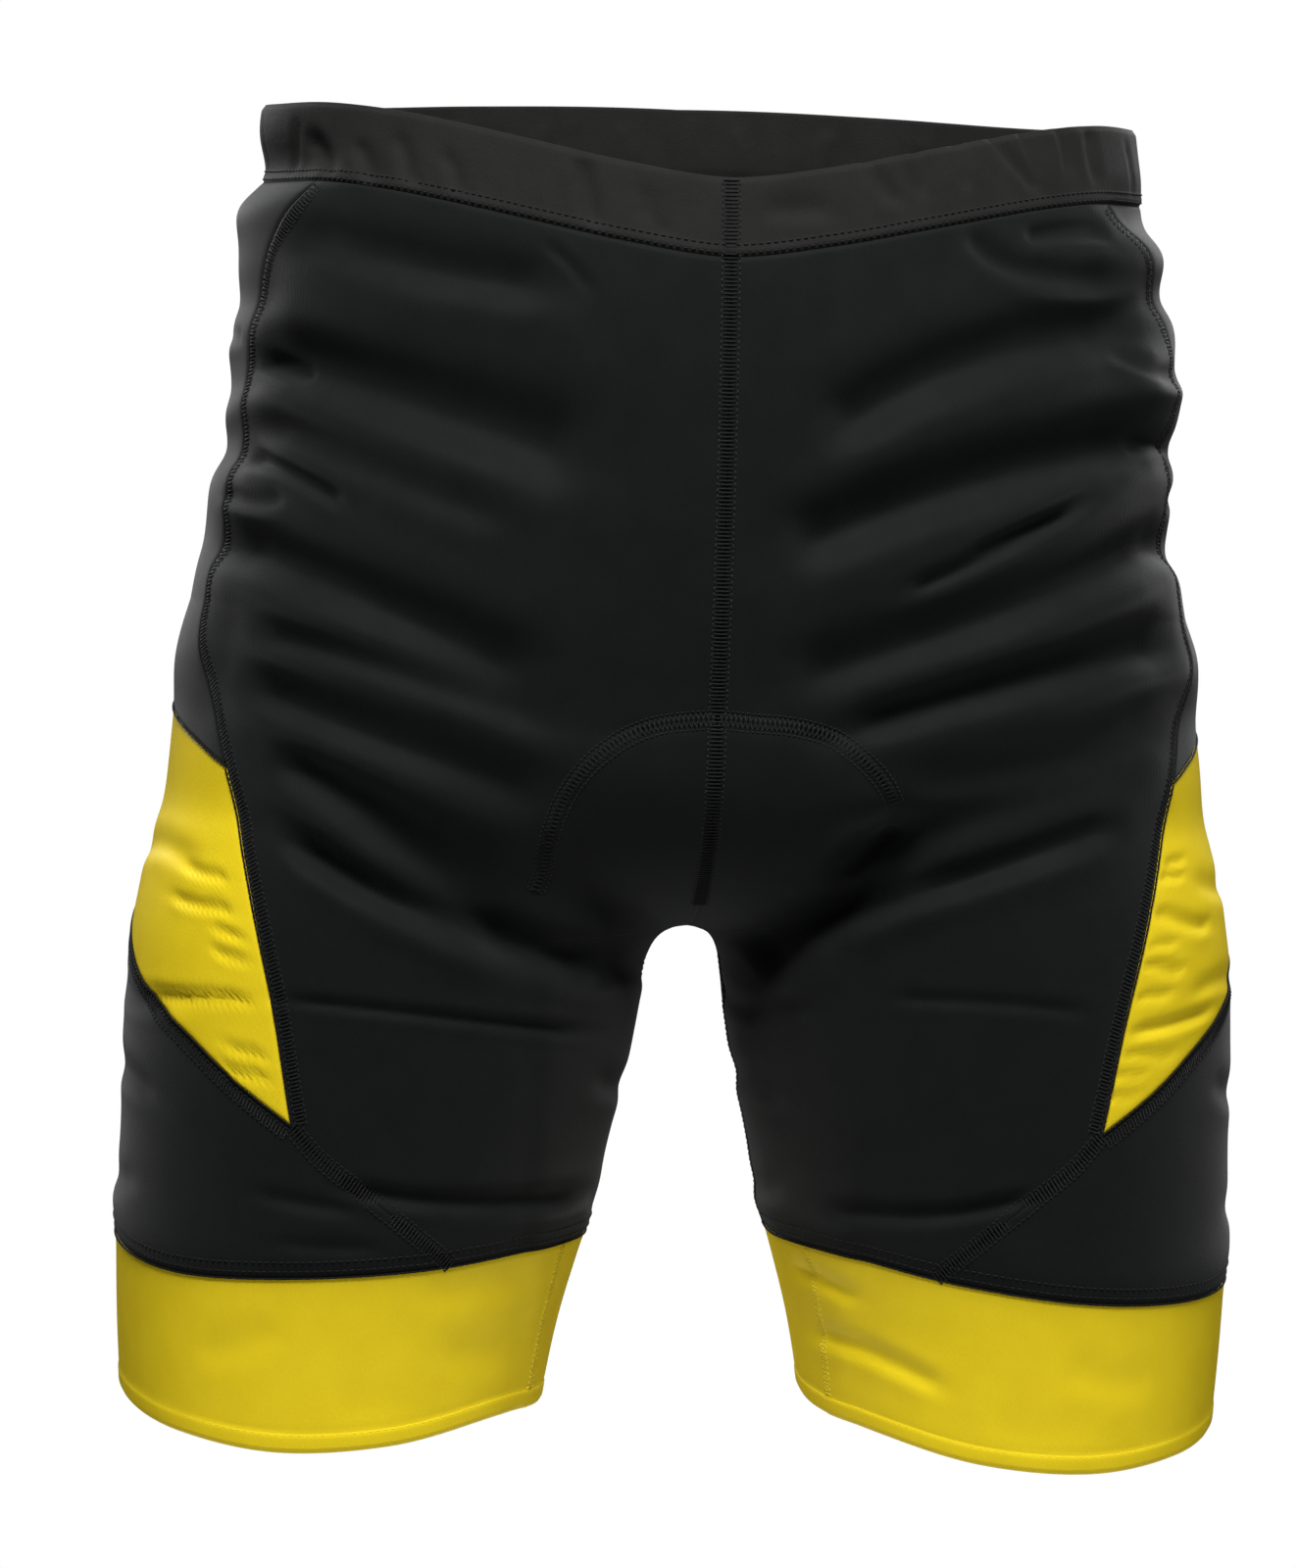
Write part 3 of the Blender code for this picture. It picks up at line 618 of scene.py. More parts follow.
@dataclass(frozen=True)
class Creases:
    """All creases of the worn cloth, and how they move it."""

    main: tuple[Crease, ...] = creases_of(
        View.FRONT,
        ((-148, -30), (-104, -46), (-56, -54), (11, 9), 2.6),
        ((-161, -72), (-104, -90), (-38, -108), (11, 18), 4.2),
        ((-175, -140), (-120, -160), (-50, -191), (10, 13), 3.8),
        ((-162, -175), (-110, -187), (-50, -206), (6, 8), 1.9),
        ((-166, -190), (-112, -210), (-50, -228), (8, 11), 2.8),
        ((-155, -217), (-104, -242), (-47, -289), (8, 15), 3.3),
        ((-149, -243), (-94, -272), (-20, -293), (7, 9), 3.5),
        ((-128, -370), (-85, -376), (-33, -377), (4, 5.5), 1.5),
        ((24, -107), (86, -72), (168, -56), (12, 13), 4.2),
        ((13, -143), (80, -116), (170, -94), (13, 11), 4.4),
        ((17, -186), (88, -163), (174, -131), (12, 10), 3.5),
        ((36, -206), (105, -185), (176, -168), (8, 10), 3.1),
        ((62, -221), (115, -212), (168, -195), (9, 12), 2.2),
        ((33, -248), (90, -232), (160, -211), (13, 12), 3.1),
        ((28, -278), (92, -254), (150, -234), (7, 8), 3.2),
        ((47, -379), (85, -379), (121, -370), (5, 4), 1.4),
        ((14, -290), (38, -268), (68, -238), (13, 14), 3.4),
    )
    small: tuple[Crease, ...] = creases_of(
        View.FRONT,
        ((-62, -44), (-53, -52), (-47, -61), (2, 2), 0.9),
        ((-159, -82), (-151, -86), (-143, -90), (4, 3), 1.5),
        ((-160, -101), (-118, -117), (-64, -136), (7, 9), 1.3),
        ((-164, -116), (-147, -122), (-126, -134), (4, 4), 1.6),
        ((-170, -128), (-160, -132), (-150, -130), (4, 4), 0.9),
        ((-151, -305), (-100, -309), (-36, -318), (3, 3), 1.0),
        ((-157, -374), (-138, -377), (-118, -379), (4, 4), 0.8),
        ((-150, -391), (-131, -392), (-110, -392), (4, 4), 0.8),
        ((103, -36), (119, -32), (138, -30), (4, 5), 1.6),
        ((86, -34), (106, -46), (148, -45), (5, 6), 1.5),
        ((140, -72), (156, -80), (170, -78), (4, 5), 0.9),
        ((60, -159), (95, -143), (138, -119), (4, 5), 1.7),
        ((84, -146), (104, -137), (126, -131), (3, 3), 0.7),
        ((148, -108), (160, -104), (172, -107), (4, 4), 1.1),
        ((45, -263), (55, -254), (65, -246), (3, 3), 1.1),
        ((63, -302), (100, -302), (139, -306), (3.4, 3.4), 0.8),
        ((10, -29), (22, -28), (35, -28), (5, 5), 0.6),
        ((-183, -262), (-174, -264), (-167, -264), (2.4, 2.4), 0.6),
        ((-187, -273), (-175, -275), (-165, -275), (2.6, 2.4), 0.7),
        ((-171, -283), (-166, -284), (-161, -285), (2.2, 2), 0.6),
        ((-171, -291), (-165, -292), (-160, -292), (2.2, 2), 0.6),
        ((-195, -308), (-176, -307), (-157, -306), (2.4, 2), 0.8),
        ((-166, -324), (-160, -325), (-153, -325), (2.2, 2), 0.6),
        ((-167, -332), (-159, -333), (-151, -333), (2.2, 2), 0.6),
        ((165, -254), (169, -254), (174, -254), (2.2, 2.2), 0.5),
        ((163, -259), (168, -259), (174, -260), (2.2, 2.2), 0.5),
        ((161, -270), (174, -275), (187, -278), (3, 3), 0.8),
        ((159, -283), (164, -283), (170, -283), (2, 2), 0.4),
        ((158, -289), (165, -291), (174, -294), (2.4, 2.4), 0.7),
        ((154, -301), (161, -301), (169, -301), (2.2, 2.2), 0.5),
        ((152, -313), (169, -311), (188, -307), (3, 3), 0.8),
        ((150, -321), (160, -322), (172, -324), (2.4, 2.4), 0.5),
        ((147, -329), (153, -329), (160, -330), (2, 2), 0.4),
        ((145, -337), (150, -337), (157, -338), (2, 2), 0.4),
        ((49, -428), (70, -434), (94, -445), (5, 4), 0.8),
        ((42, -406), (52, -409), (64, -414), (4, 4), 0.7),
        ((-98, -409), (-79, -406), (-58, -404), (8, 8), 0.25),
        ((-90, -434), (-78, -432), (-64, -432), (8, 8), 0.2),
        ((-128, -450), (-112, -447), (-96, -448), (8, 8), 0.15),
        ((-150, -420), (-162, -428), (-176, -430), (8, 8), 0.25),
        ((138, -432), (152, -438), (168, -438), (8, 8), 0.25),
        ((110, -452), (126, -456), (142, -454), (8, 8), 0.15),
    )
    gathers: tuple[Crease, ...] = creases_of(
        View.FRONT,
        ((-143, -3), (-137, -12), (-134, -21), (4, 3), 1.0),
        ((-126, -8), (-122, -15), (-118, -24), (3, 4), 0.9),
        ((-112, -6), (-108, -16), (-107, -26), (3, 3), 0.7),
        ((-96, -12), (-92, -20), (-91, -29), (3, 3), 0.6),
        ((-49, -15), (-47, -26), (-44, -40), (4, 3), 0.8),
        ((-28, -24), (-26, -32), (-26, -42), (4, 4), 0.5),
        ((47, -8), (52, -18), (60, -28), (4, 3), 1.0),
        ((66, -4), (66, -14), (69, -26), (3, 3), 0.7),
        ((80, -2), (82, -12), (84, -22), (3, 3), 0.9),
        ((92, 1), (102, -10), (113, -20), (3, 3), 1.0),
        ((106, 2), (108, -7), (112, -15), (3, 2), 0.8),
        ((120, 4), (123, -5), (124, -14), (3, 3), 0.8),
        ((133, 4), (134, -6), (137, -15), (3, 3), 0.7),
    )
    left: tuple[Crease, ...] = creases_of(
        View.LEFT,
        ((-75, -22), (0, -24), (75, -18), (11, 11), 3.2),
        ((-80, -71), (0, -73), (80, -79), (45, 45), -7.0),
        ((-70, -56), (0, -51), (70, -64), (8, 10), 2.0),
        ((-70, -82), (5, -75), (60, -86), (7, 8), 1.6),
        ((-60, -112), (10, -106), (80, -118), (8, 10), 2.0),
        ((-70, -140), (0, -146), (75, -160), (8, 11), 2.2),
        ((-75, -176), (0, -189), (80, -198), (8, 12), 0.3),
        ((-70, -176), (0, -180), (75, -186), (24, 22), -3.6),
        ((-40, -128), (-14, -124), (18, -129), (4, 5), 0.9),
        ((-60, -260), (-20, -266), (30, -258), (5, 6), 0.9),
        ((-66, -302), (-34, -298), (6, -305), (4, 5), 0.8),
        ((-50, -334), (-10, -342), (40, -336), (6, 7), 1.0),
        ((-30, -382), (10, -386), (52, -378), (6, 6), 0.8),
        ((-44, 2), (-42, -8), (-43, -18), (3, 3), 0.7),
        ((-22, 4), (-21, -7), (-18, -17), (3, 4), 0.6),
        ((8, 7), (9, -5), (8, -16), (4, 3), 0.7),
        ((41, 11), (43, 0), (46, -12), (4, 4), 0.6),
    )
    right: tuple[Crease, ...] = creases_of(
        View.RIGHT,
        ((-75, -11), (0, -13), (75, -9), (12, 11), 4.0),
        ((-65, -62), (0, -60), (70, -68), (10, 10), 1.8),
        ((-65, -88), (5, -92), (75, -104), (9, 10), 1.6),
        ((-70, -112), (0, -111), (70, -118), (12, 11), 2.8),
        ((-70, -150), (0, -146), (80, -158), (8, 10), 0.4),
        ((-60, -178), (5, -182), (75, -190), (26, 24), -3.0),
        ((-30, -76), (-8, -73), (20, -77), (4, 5), 0.9),
        ((-62, -262), (-24, -256), (22, -264), (5, 6), 0.9),
        ((-68, -308), (-30, -312), (10, -306), (4, 6), 0.9),
        ((-48, -346), (-6, -338), (42, -344), (6, 7), 1.0),
        ((-34, -376), (8, -380), (48, -374), (6, 6), 0.8),
        ((-48, 1), (-46, -8), (-44, -19), (3, 3), 0.7),
        ((-14, 5), (-16, -6), (-15, -17), (3, 3), 0.6),
        ((22, 8), (24, -3), (26, -14), (4, 4), 0.7),
        ((56, 12), (56, 2), (58, -9), (4, 3), 0.6),
    )
    back: tuple[Crease, ...] = creases_of(
        View.BACK,
        ((-150, -60), (-90, -70), (-30, -66), (11, 14), 2.6),
        ((35, -75), (95, -88), (155, -80), (14, 11), 2.8),
        ((-155, -118), (-105, -128), (-50, -122), (11, 13), 2.0),
        ((40, -140), (100, -152), (155, -144), (13, 11), 2.0),
        ((-165, -205), (-120, -222), (-70, -236), (11, 14), 2.4),
        ((70, -232), (118, -220), (160, -200), (14, 11), 2.2),
        ((-165, -262), (-100, -277), (-30, -272), (11, 12), 3.8),
        ((30, -274), (102, -279), (165, -262), (12, 11), 3.8),
        ((-160, -320), (-110, -328), (-55, -322), (9, 11), 1.8),
        ((55, -318), (112, -327), (160, -316), (11, 9), 1.8),
        ((0, -130), (0, -180), (0, -235), (20, 20), 3.0),
        ((-120, -92), (-84, -97), (-44, -94), (6, 7), 1.0),
        ((48, -52), (82, -58), (120, -54), (6, 6), 1.0),
        ((-138, -292), (-100, -300), (-60, -297), (6, 6), 1.2),
        ((58, -296), (98, -301), (140, -293), (6, 6), 1.2),
        ((-135, -362), (-100, -368), (-64, -364), (7, 6), 1.0),
        ((60, -358), (104, -366), (142, -360), (6, 7), 1.0),
        ((-118, 8), (-116, -2), (-119, -12), (4, 4), 0.7),
        ((-86, 12), (-84, 2), (-82, -9), (4, 3), 0.6),
        ((-52, 14), (-53, 4), (-55, -7), (4, 4), 0.7),
        ((-20, 16), (-19, 5), (-22, -6), (4, 4), 0.5),
        ((24, 16), (25, 5), (23, -6), (4, 4), 0.6),
        ((58, 14), (56, 4), (57, -7), (4, 4), 0.7),
        ((94, 12), (96, 1), (94, -9), (4, 4), 0.6),
        ((124, 8), (122, -2), (125, -12), (4, 4), 0.7),
    )
    fade_from: float = -0.10
    fade_to: float = 0.40
    front_drop: float = 0.65
    other_drop: float = 0.30
    upper_reach: float = 1.25
    lower_reach: float = 1.00
    upper_ridge: float = 0.9
    lower_ridge: float = 1.3
    end_share: float = 0.15
    widths_reached: float = 4
    fade: float = 0.16
    front_strength: float = 1.8
    other_strength: float = 1.1

    @property
    def every(self) -> tuple[Crease, ...]:
        """The creases of all views."""
        return self.main + self.small + self.gathers + self.left + self.right + self.back

    def one(self, crease: Crease, points: Array, normals: Array) -> Array:
        """How far one crease moves each point out.

        Args:
            crease: the crease.
            points: points of the cloth.
            normals: their unit normals.

        Returns:
            The distances along the normals.
        """
        axis, towards = crease.view.value
        path, reach = crease.path, self.widths_reached * max(crease.widths) * MILLIMETRE
        flat = points[:, [axis, 2]]
        shows = ease(normals @ np.array(towards), self.fade_from, self.fade_to)
        near = (flat > path.min(axis=0) - reach).all(axis=1)
        near &= (flat < path.max(axis=0) + reach).all(axis=1) & (shows > 0)
        lift = np.zeros(len(points))
        if not near.any():
            return lift
        away, past, along = self.from_path(flat[near], path)
        start, end = crease.widths
        width = (start + (end - start) * along) * MILLIMETRE
        in_front = crease.view is View.FRONT
        below = away / width + (self.front_drop if in_front else self.other_drop)
        upper = below > 0
        q = (below / np.where(upper, self.upper_reach, self.lower_reach)) ** 2
        ridge = np.where(upper, self.upper_ridge, self.lower_ridge)
        ends = ease(along, 0, self.fade) * ease(1 - along, 0, self.fade)
        deeper = self.front_strength if in_front else self.other_strength
        depth = crease.depth * deeper * MILLIMETRE
        strength = depth * (self.end_share + (1 - self.end_share) * ends)
        fall = np.exp(-q - (past / width) ** 2)
        lift[near] = -strength * (1 - ridge * q) * fall * shows[near]
        return lift

    @staticmethod
    def from_path(points: Array, path: Array) -> tuple[Array, Array, Array]:
        """How points lie to a path.

        Args:
            points: flat points.
            path: the points of the path.

        Returns:
            The distance from it, above 0 on its upper side, how far they lie past its ends, and
            the share of it passed.
        """
        nearest = np.full(len(points), np.inf)
        away, past, along = (np.zeros(len(points)) for _ in range(3))
        for i, (a, b) in enumerate(zip(path[:-1], path[1:])):
            step = b - a
            length = np.linalg.norm(step)
            t = np.clip((points - a) @ step / length**2, 0, 1)
            offset = points - (a + t[:, None] * step)
            distance = np.linalg.norm(offset, axis=1)
            across = (step[0] * offset[:, 1] - step[1] * offset[:, 0]) / length
            across = across if step[0] >= 0 else -across
            share = (i + t) / (len(path) - 1)
            beyond = (share <= 0) | (share >= 1)
            own = np.where(beyond, across, np.copysign(distance, across))
            closer = distance < nearest
            nearest = np.where(closer, distance, nearest)
            away = np.where(closer, own, away)
            past = np.where(closer, np.sqrt(np.maximum(distance**2 - own**2, 0)), past)
            along = np.where(closer, share, along)
        return away, past, along

    def lift(self, points: Array, normals: Array) -> Array:
        """How far all creases move each point out along its normal."""
        return sum((self.one(crease, points, normals) for crease in self.every), start=0.0)


@dataclass(frozen=True)
class Cloth:
    """The outer face of the worn cloth: the form with its creases, swells and the pad's raise."""

    form: WornForm
    cut: Cut
    creases: Creases
    band_swell: Point = (0.013, 0.011, 0.0028)
    cuff_swell: Point = (0.012, 0.010, 0.0014)
    swell_bearings: Pair = (15, 60)
    pad_centre: Pair = (0.002, -0.262)
    pad_half: Pair = (0.061, 0.055)
    pad_squareness: float = 2.6
    pad_raise: float = 0.0011
    pad_edge: Pair = (0.90, 1.04)
    pad_fade: Pair = (-0.2, 0.3)

    @cached_property
    def waist_span(self) -> Pair:
        """The bearings of the middle in front and behind, at the waistband's seam."""
        top = np.array([self.cut.band_seam(0.0)])
        return tuple(float(self.form.middle_bearings(top, facing)[0]) for facing in Facing)

    def swell(self, bearings: Array, heights: Array, sides: Array) -> Array:
        """How far the jersey swells out under the tight band and above the tight cuffs.

        Args:
            bearings: the points' bearings.
            heights: their heights.
            sides: 1 on the left and -1 on the right.

        Returns:
            The distances along the normals.
        """
        below, spread, lift = self.band_swell
        down = self.cut.band_seam(bearings) - heights
        band = lift * np.exp(-(((down - below) / spread) ** 2))
        above, spread, lift = self.cuff_swell
        up = heights - self.cut.leg_edge("cuff_seam", bearings, sides)
        cuff = lift * np.exp(-(((up - above) / spread) ** 2))
        return band * ease(bearings, *self.swell_bearings) + cuff

    def pad(self, points: Array, normals: Array) -> Array:
        """How far the hidden seat pad lifts the front.

        Args:
            points: points of the cloth.
            normals: their unit normals.

        Returns:
            The distances along the normals.
        """
        u = np.abs(points[:, 0] - self.pad_centre[0]) / self.pad_half[0]
        v = np.maximum(points[:, 2] - self.pad_centre[1], 0) / self.pad_half[1]
        ring = (u**self.pad_squareness + v**self.pad_squareness) ** (1 / self.pad_squareness)
        inside = 1 - ease(ring, *self.pad_edge)
        return self.pad_raise * inside * ease(-normals[:, 1], *self.pad_fade)

    def at(
        self, bearings: Array, heights: Array, sides: Array | int, base: Array | None = None
    ) -> tuple[Array, Array]:
        """The cloth's outer face at some places.

        Args:
            bearings: the places' bearings.
            heights: their heights.
            sides: 1 on the left and -1 on the right.
            base: their points on the left half of the form, where known.

        Returns:
            The points and their unit normals.
        """
        points = self.form.surface(bearings, heights) if base is None else base
        normals = self.form.normals(points)
        sides = np.broadcast_to(sides, bearings.shape)
        mirror = np.stack([sides, np.ones_like(sides), np.ones_like(sides)], axis=-1)
        points, normals = points * mirror, normals * mirror
        flat, facing = points.reshape(-1, 3), normals.reshape(-1, 3)
        lift = self.creases.lift(flat, facing) + self.pad(flat, facing)
        lift = lift.reshape(bearings.shape) + self.swell(bearings, heights, sides)
        return points + normals * lift[..., None], normals


@dataclass(frozen=True)
class Net:
    """The grid of one half: rows run round it and columns down it, closer together at the seams."""

    form: WornForm
    cut: Cut
    side: Side
    upper_rows: int = 23
    yellow_rows: int = 10
    lower_rows: int = 9
    fork_row: int = 28
    fork_crowding: float = 1.8
    finer: int = 7
    front_columns: int = 68
    side_columns: int = 50
    back_columns: int = 62
    edge_steps: Pair = (0.0045, 0.010)

    def crowded(self, count: int) -> Array:
        """Shares from 0 to 1 in even steps, with two more close to each end.

        Args:
            count: how many even steps.

        Returns:
            The shares.
        """
        even = np.linspace(0, 1, count + 1)
        steps = np.array(self.edge_steps)
        return np.sort(np.concatenate([even, steps, 1 - steps]))

    @cached_property
    def rows(self) -> Array:
        """The rows, numbered as in the solids, with the ones that lie between them.

        Returns:
            Their numbers, whole or in between.
        """
        marks = np.cumsum([0, self.upper_rows, self.yellow_rows, self.lower_rows])
        parts = [
            low + (high - low) * self.crowded((high - low) * self.finer)
            for low, high in zip(marks[:-1], marks[1:])
        ]
        return np.concatenate([parts[0], parts[1][1:], parts[2][1:]])

    @property
    def marks(self) -> list[int]:
        """The rows' places on the yellow panel's upper edge, its lower edge and the cuff seam."""
        numbers = np.cumsum([self.upper_rows, self.yellow_rows, self.lower_rows])
        return [int(np.argmin(np.abs(self.rows - number))) for number in numbers]

    def stations(self, top: float, yellow: float, corner: float, bottom: float) -> Array:
        """The heights of all rows, given those at the corners of the side panels."""
        marks = np.cumsum([0, self.upper_rows, self.yellow_rows, self.lower_rows])
        return np.interp(self.rows, marks, [top, yellow, corner, bottom])

    def side_front(self) -> tuple[Array, Array]:
        """The side front seam.

        Returns:
            The bearing and the height of each row on it.
        """
        top = self.cut.band_seam(self.cut.seam_start("side_front"))
        corner, end = self.cut.front_diagonal[0], self.cut.front_diagonal[-1]
        bottom = float(self.cut.leg_edge("cuff_seam", end.bearing, self.side.value))
        heights = self.stations(top, self.cut.yellow_top[0].height, corner.height, bottom)
        return self.cut.side_front_bearings(heights, bottom), heights

    def side_back(self) -> tuple[Array, Array]:
        """The side back seam.

        Returns:
            The bearing and the height of each row on it.
        """
        top = self.cut.band_seam(self.cut.seam_start("side_back"))
        last = self.cut.side_back[-1].bearing
        bottom = float(self.cut.leg_edge("cuff_seam", last, self.side.value))
        yellow, corner = self.cut.yellow_top[-1].height, self.cut.diagonal[-1].height
        heights = self.stations(top, yellow, corner, bottom)
        return self.cut.curves["side_back"].at(heights)[0], heights

    def middle(self, facing: Facing) -> Array:
        """The rows on the middle seam and down the inner side of the leg.

        Args:
            facing: the front or the back.

        Returns:
            Their heights.
        """
        start = self.form.middle_bearings(np.array([self.cut.band_seam(0.0)]), facing)[0]
        top, fork = float(self.cut.band_seam(start)), self.form.fork[2]
        inner = 90 + 180 * facing.value
        bottom = float(self.cut.leg_edge("cuff_seam", inner, self.side.value))
        down = 1 - (1 - np.minimum(self.rows / self.fork_row, 1)) ** self.fork_crowding
        last = self.upper_rows + self.yellow_rows + self.lower_rows
        below = np.maximum(self.rows - self.fork_row, 0) / (last - self.fork_row)
        return top + (fork - top) * down + (bottom - fork) * below

    def panel(
        self, side: tuple[Array, Array], facing: Facing, columns: int
    ) -> tuple[Array, Array]:
        """Bearings and heights of a front or back panel.

        Args:
            side: the bearings and heights of the side seam.
            facing: the front or the back.
            columns: how many even columns it has.

        Returns:
            Both grids, from the middle seam to the side seam.
        """
        across = self.crowded(columns)
        side_bearings, side_heights = side
        middle = self.middle(facing)
        start = self.form.middle_bearings(middle, facing)
        bearings = start[:, None] + (side_bearings - start)[:, None] * across
        top = self.cut.band_seam(bearings)
        bottom = self.cut.leg_edge("cuff_seam", bearings, self.side.value)
        share_middle = (middle - top[:, 0]) / (bottom[:, 0] - top[:, 0])
        share_side = (side_heights - top[:, -1]) / (bottom[:, -1] - top[:, -1])
        turn = ease(across, 0, 1)
        share = share_middle[:, None] + (share_side - share_middle)[:, None] * turn
        return bearings, top + (bottom - top) * share

    def flank(
        self, front: tuple[Array, Array], back: tuple[Array, Array]
    ) -> tuple[Array, Array]:
        """Bearings and heights between the side seams.

        Args:
            front: the bearings and heights of the side front seam.
            back: those of the side back seam.

        Returns:
            Both grids, with rows on the edges of the yellow panel.
        """
        across = self.crowded(self.side_columns)
        bearings = front[0][:, None] + (back[0] - front[0])[:, None] * across
        yellow, corner, last = self.marks
        edges = (
            self.cut.band_seam(bearings[0]),
            self.cut.curves["yellow_top"].at(bearings[yellow])[0],
            self.cut.curves["diagonal"].at(bearings[corner])[0],
            self.cut.leg_edge("cuff_seam", bearings[last], self.side.value),
        )
        heights = [self.stations(*corners) for corners in zip(*edges)]
        return bearings, np.stack(heights, axis=1)

    def whole(self) -> tuple[Array, Array, list[int]]:
        """The grid of the half, from the middle in front to the middle behind.

        Returns:
            Bearings, heights, and the columns of the side front and side back seams.
        """
        front_seam, back_seam = self.side_front(), self.side_back()
        front = self.panel(front_seam, Facing.FRONT, self.front_columns)
        flank = self.flank(front_seam, back_seam)
        back = self.panel(back_seam, Facing.BACK, self.back_columns)
        bearings, heights = (
            np.concatenate([front[i], flank[i][:, 1:-1], back[i][:, ::-1]], axis=1)
            for i in (0, 1)
        )
        first = front[0].shape[1] - 1
        return bearings, heights, [first, first + flank[0].shape[1] - 1]


class NodeSheet:
    """The nodes of one material, laid down one by one."""

    def __init__(self, tree: bpy.types.NodeTree) -> None:
        """Takes the tree of a new material."""
        self.tree = tree
        self.shader = tree.nodes["Principled BSDF"]

    def feed(self, node: bpy.types.Node, inputs: dict[str | int, object]) -> None:
        """Sets inputs of a node.

        Args:
            node: the node.
            inputs: for each input a value, or another node's output to link it to.
        """
        for name, value in inputs.items():
            if isinstance(value, bpy.types.NodeSocket):
                self.tree.links.new(value, node.inputs[name])
            else:
                node.inputs[name].default_value = value

    def add(
        self, kind: str, inputs: dict[str | int, object], output: str | int = 0
    ) -> bpy.types.NodeSocket:
        """Adds a node.

        Args:
            kind: its type.
            inputs: for each input a value, or another node's output to link it to.
            output: the output that is wanted.

        Returns:
            That output.
        """
        node = self.tree.nodes.new(kind)
        self.feed(node, inputs)
        return node.outputs[output]

    def sum(
        self, value: bpy.types.NodeSocket, share: float, plus: bpy.types.NodeSocket | float
    ) -> bpy.types.NodeSocket:
        """Adds up two values that change over the surface.

        Args:
            value: the first value.
            share: how much of it counts.
            plus: the second value.

        Returns:
            Their sum.
        """
        node = self.tree.nodes.new("ShaderNodeMath")
        node.operation = "MULTIPLY_ADD"
        self.feed(node, {0: value, 1: share, 2: plus})
        return node.outputs[0]

    def ramp(
        self, value: bpy.types.NodeSocket, positions: Pair, colours: tuple[Colour, Colour]
    ) -> bpy.types.NodeSocket:
        """A colour that follows a value.

        Args:
            value: what it follows.
            positions: the values where it starts and stops changing.
            colours: the colours there.

        Returns:
            The colour.
        """
        node = self.tree.nodes.new("ShaderNodeValToRGB")
        for element, position, colour in zip(node.color_ramp.elements, positions, colours):
            element.position = position
            element.color = colour
        self.feed(node, {"Fac": value})
        return node.outputs["Color"]


@dataclass(frozen=True)
class Finish:
    """A finish, whose material is made once and shared."""

    name: str
    colour: Colour
    second_colour: Colour

    def material(self) -> bpy.types.Material:
        """The finish as a material.

        Returns:
            One material, made on the first call and shared afterwards.
        """
        known = bpy.data.materials.get(self.name)
        if known is not None:
            return known
        made = bpy.data.materials.new(self.name)
        made.use_nodes = True
        self.dress(NodeSheet(made.node_tree))
        return made

    def dress(self, nodes: NodeSheet) -> None:
        """Lays down the finish's own nodes."""
        raise NotImplementedError


@dataclass(frozen=True)
class Knit(Finish):
    """A knitted jersey finish: fine wales, a soft mottle and the sheen of stretch yarn."""

    roughness: float
    sheen: float
    sheen_roughness: float
    relief: float
    specular: float
    gloss_tint: Colour = (1, 1, 1, 1)
    wale: float = 0.0009
    mottle: float = 0.014
    yarn_share: float = 0.35
    colour_stops: Pair = (0.32, 0.62)
    roughness_swing: float = 0.06
    wave_distortion: float = 1.5
    wale_share: float = 0.6
    relief_depth: float = 0.25

    def dress(self, nodes: NodeSheet) -> None:
        """Lays down mottled colour, uneven roughness and the relief of the loops.

        Args:
            nodes: the nodes of the material.
        """
        noise = "ShaderNodeTexNoise"
        places = nodes.add("ShaderNodeTexCoord", {}, "Object")
        mottle = nodes.add(noise, {"Vector": places, "Scale": 1 / self.mottle, "Detail": 3}, "Fac")
        yarn = nodes.add(noise, {"Vector": places, "Scale": 1 / self.wale, "Detail": 1}, "Fac")
        wave = {
            "Vector": places.node.outputs["UV"],
            "Scale": 2 * math.pi / WAVE_RATE / self.wale,
            "Distortion": self.wave_distortion,
            "Detail": 1,
        }
        wales = nodes.add("ShaderNodeTexWave", wave, "Fac")
        shade = nodes.sum(yarn, self.yarn_share, nodes.sum(mottle, 1 - self.yarn_share, 0.0))
        rough = {
            "Value": yarn,
            "To Min": self.roughness - self.roughness_swing,
            "To Max": self.roughness + self.roughness_swing,
        }
        bump = {
            "Strength": self.relief,
            "Distance": self.wale * self.relief_depth,
            "Height": nodes.sum(wales, self.wale_share, yarn),
        }
        colours = self.second_colour, self.colour
        surface = {
            "Base Color": nodes.ramp(shade, self.colour_stops, colours),
            "Roughness": nodes.add("ShaderNodeMapRange", rough, "Result"),
            "Normal": nodes.add("ShaderNodeBump", bump, "Normal"),
            "Sheen Weight": self.sheen,
            "Sheen Roughness": self.sheen_roughness,
            "Sheen Tint": self.gloss_tint,
            "Specular IOR Level": self.specular,
            "Specular Tint": self.gloss_tint,
        }
        nodes.feed(nodes.shader, surface)


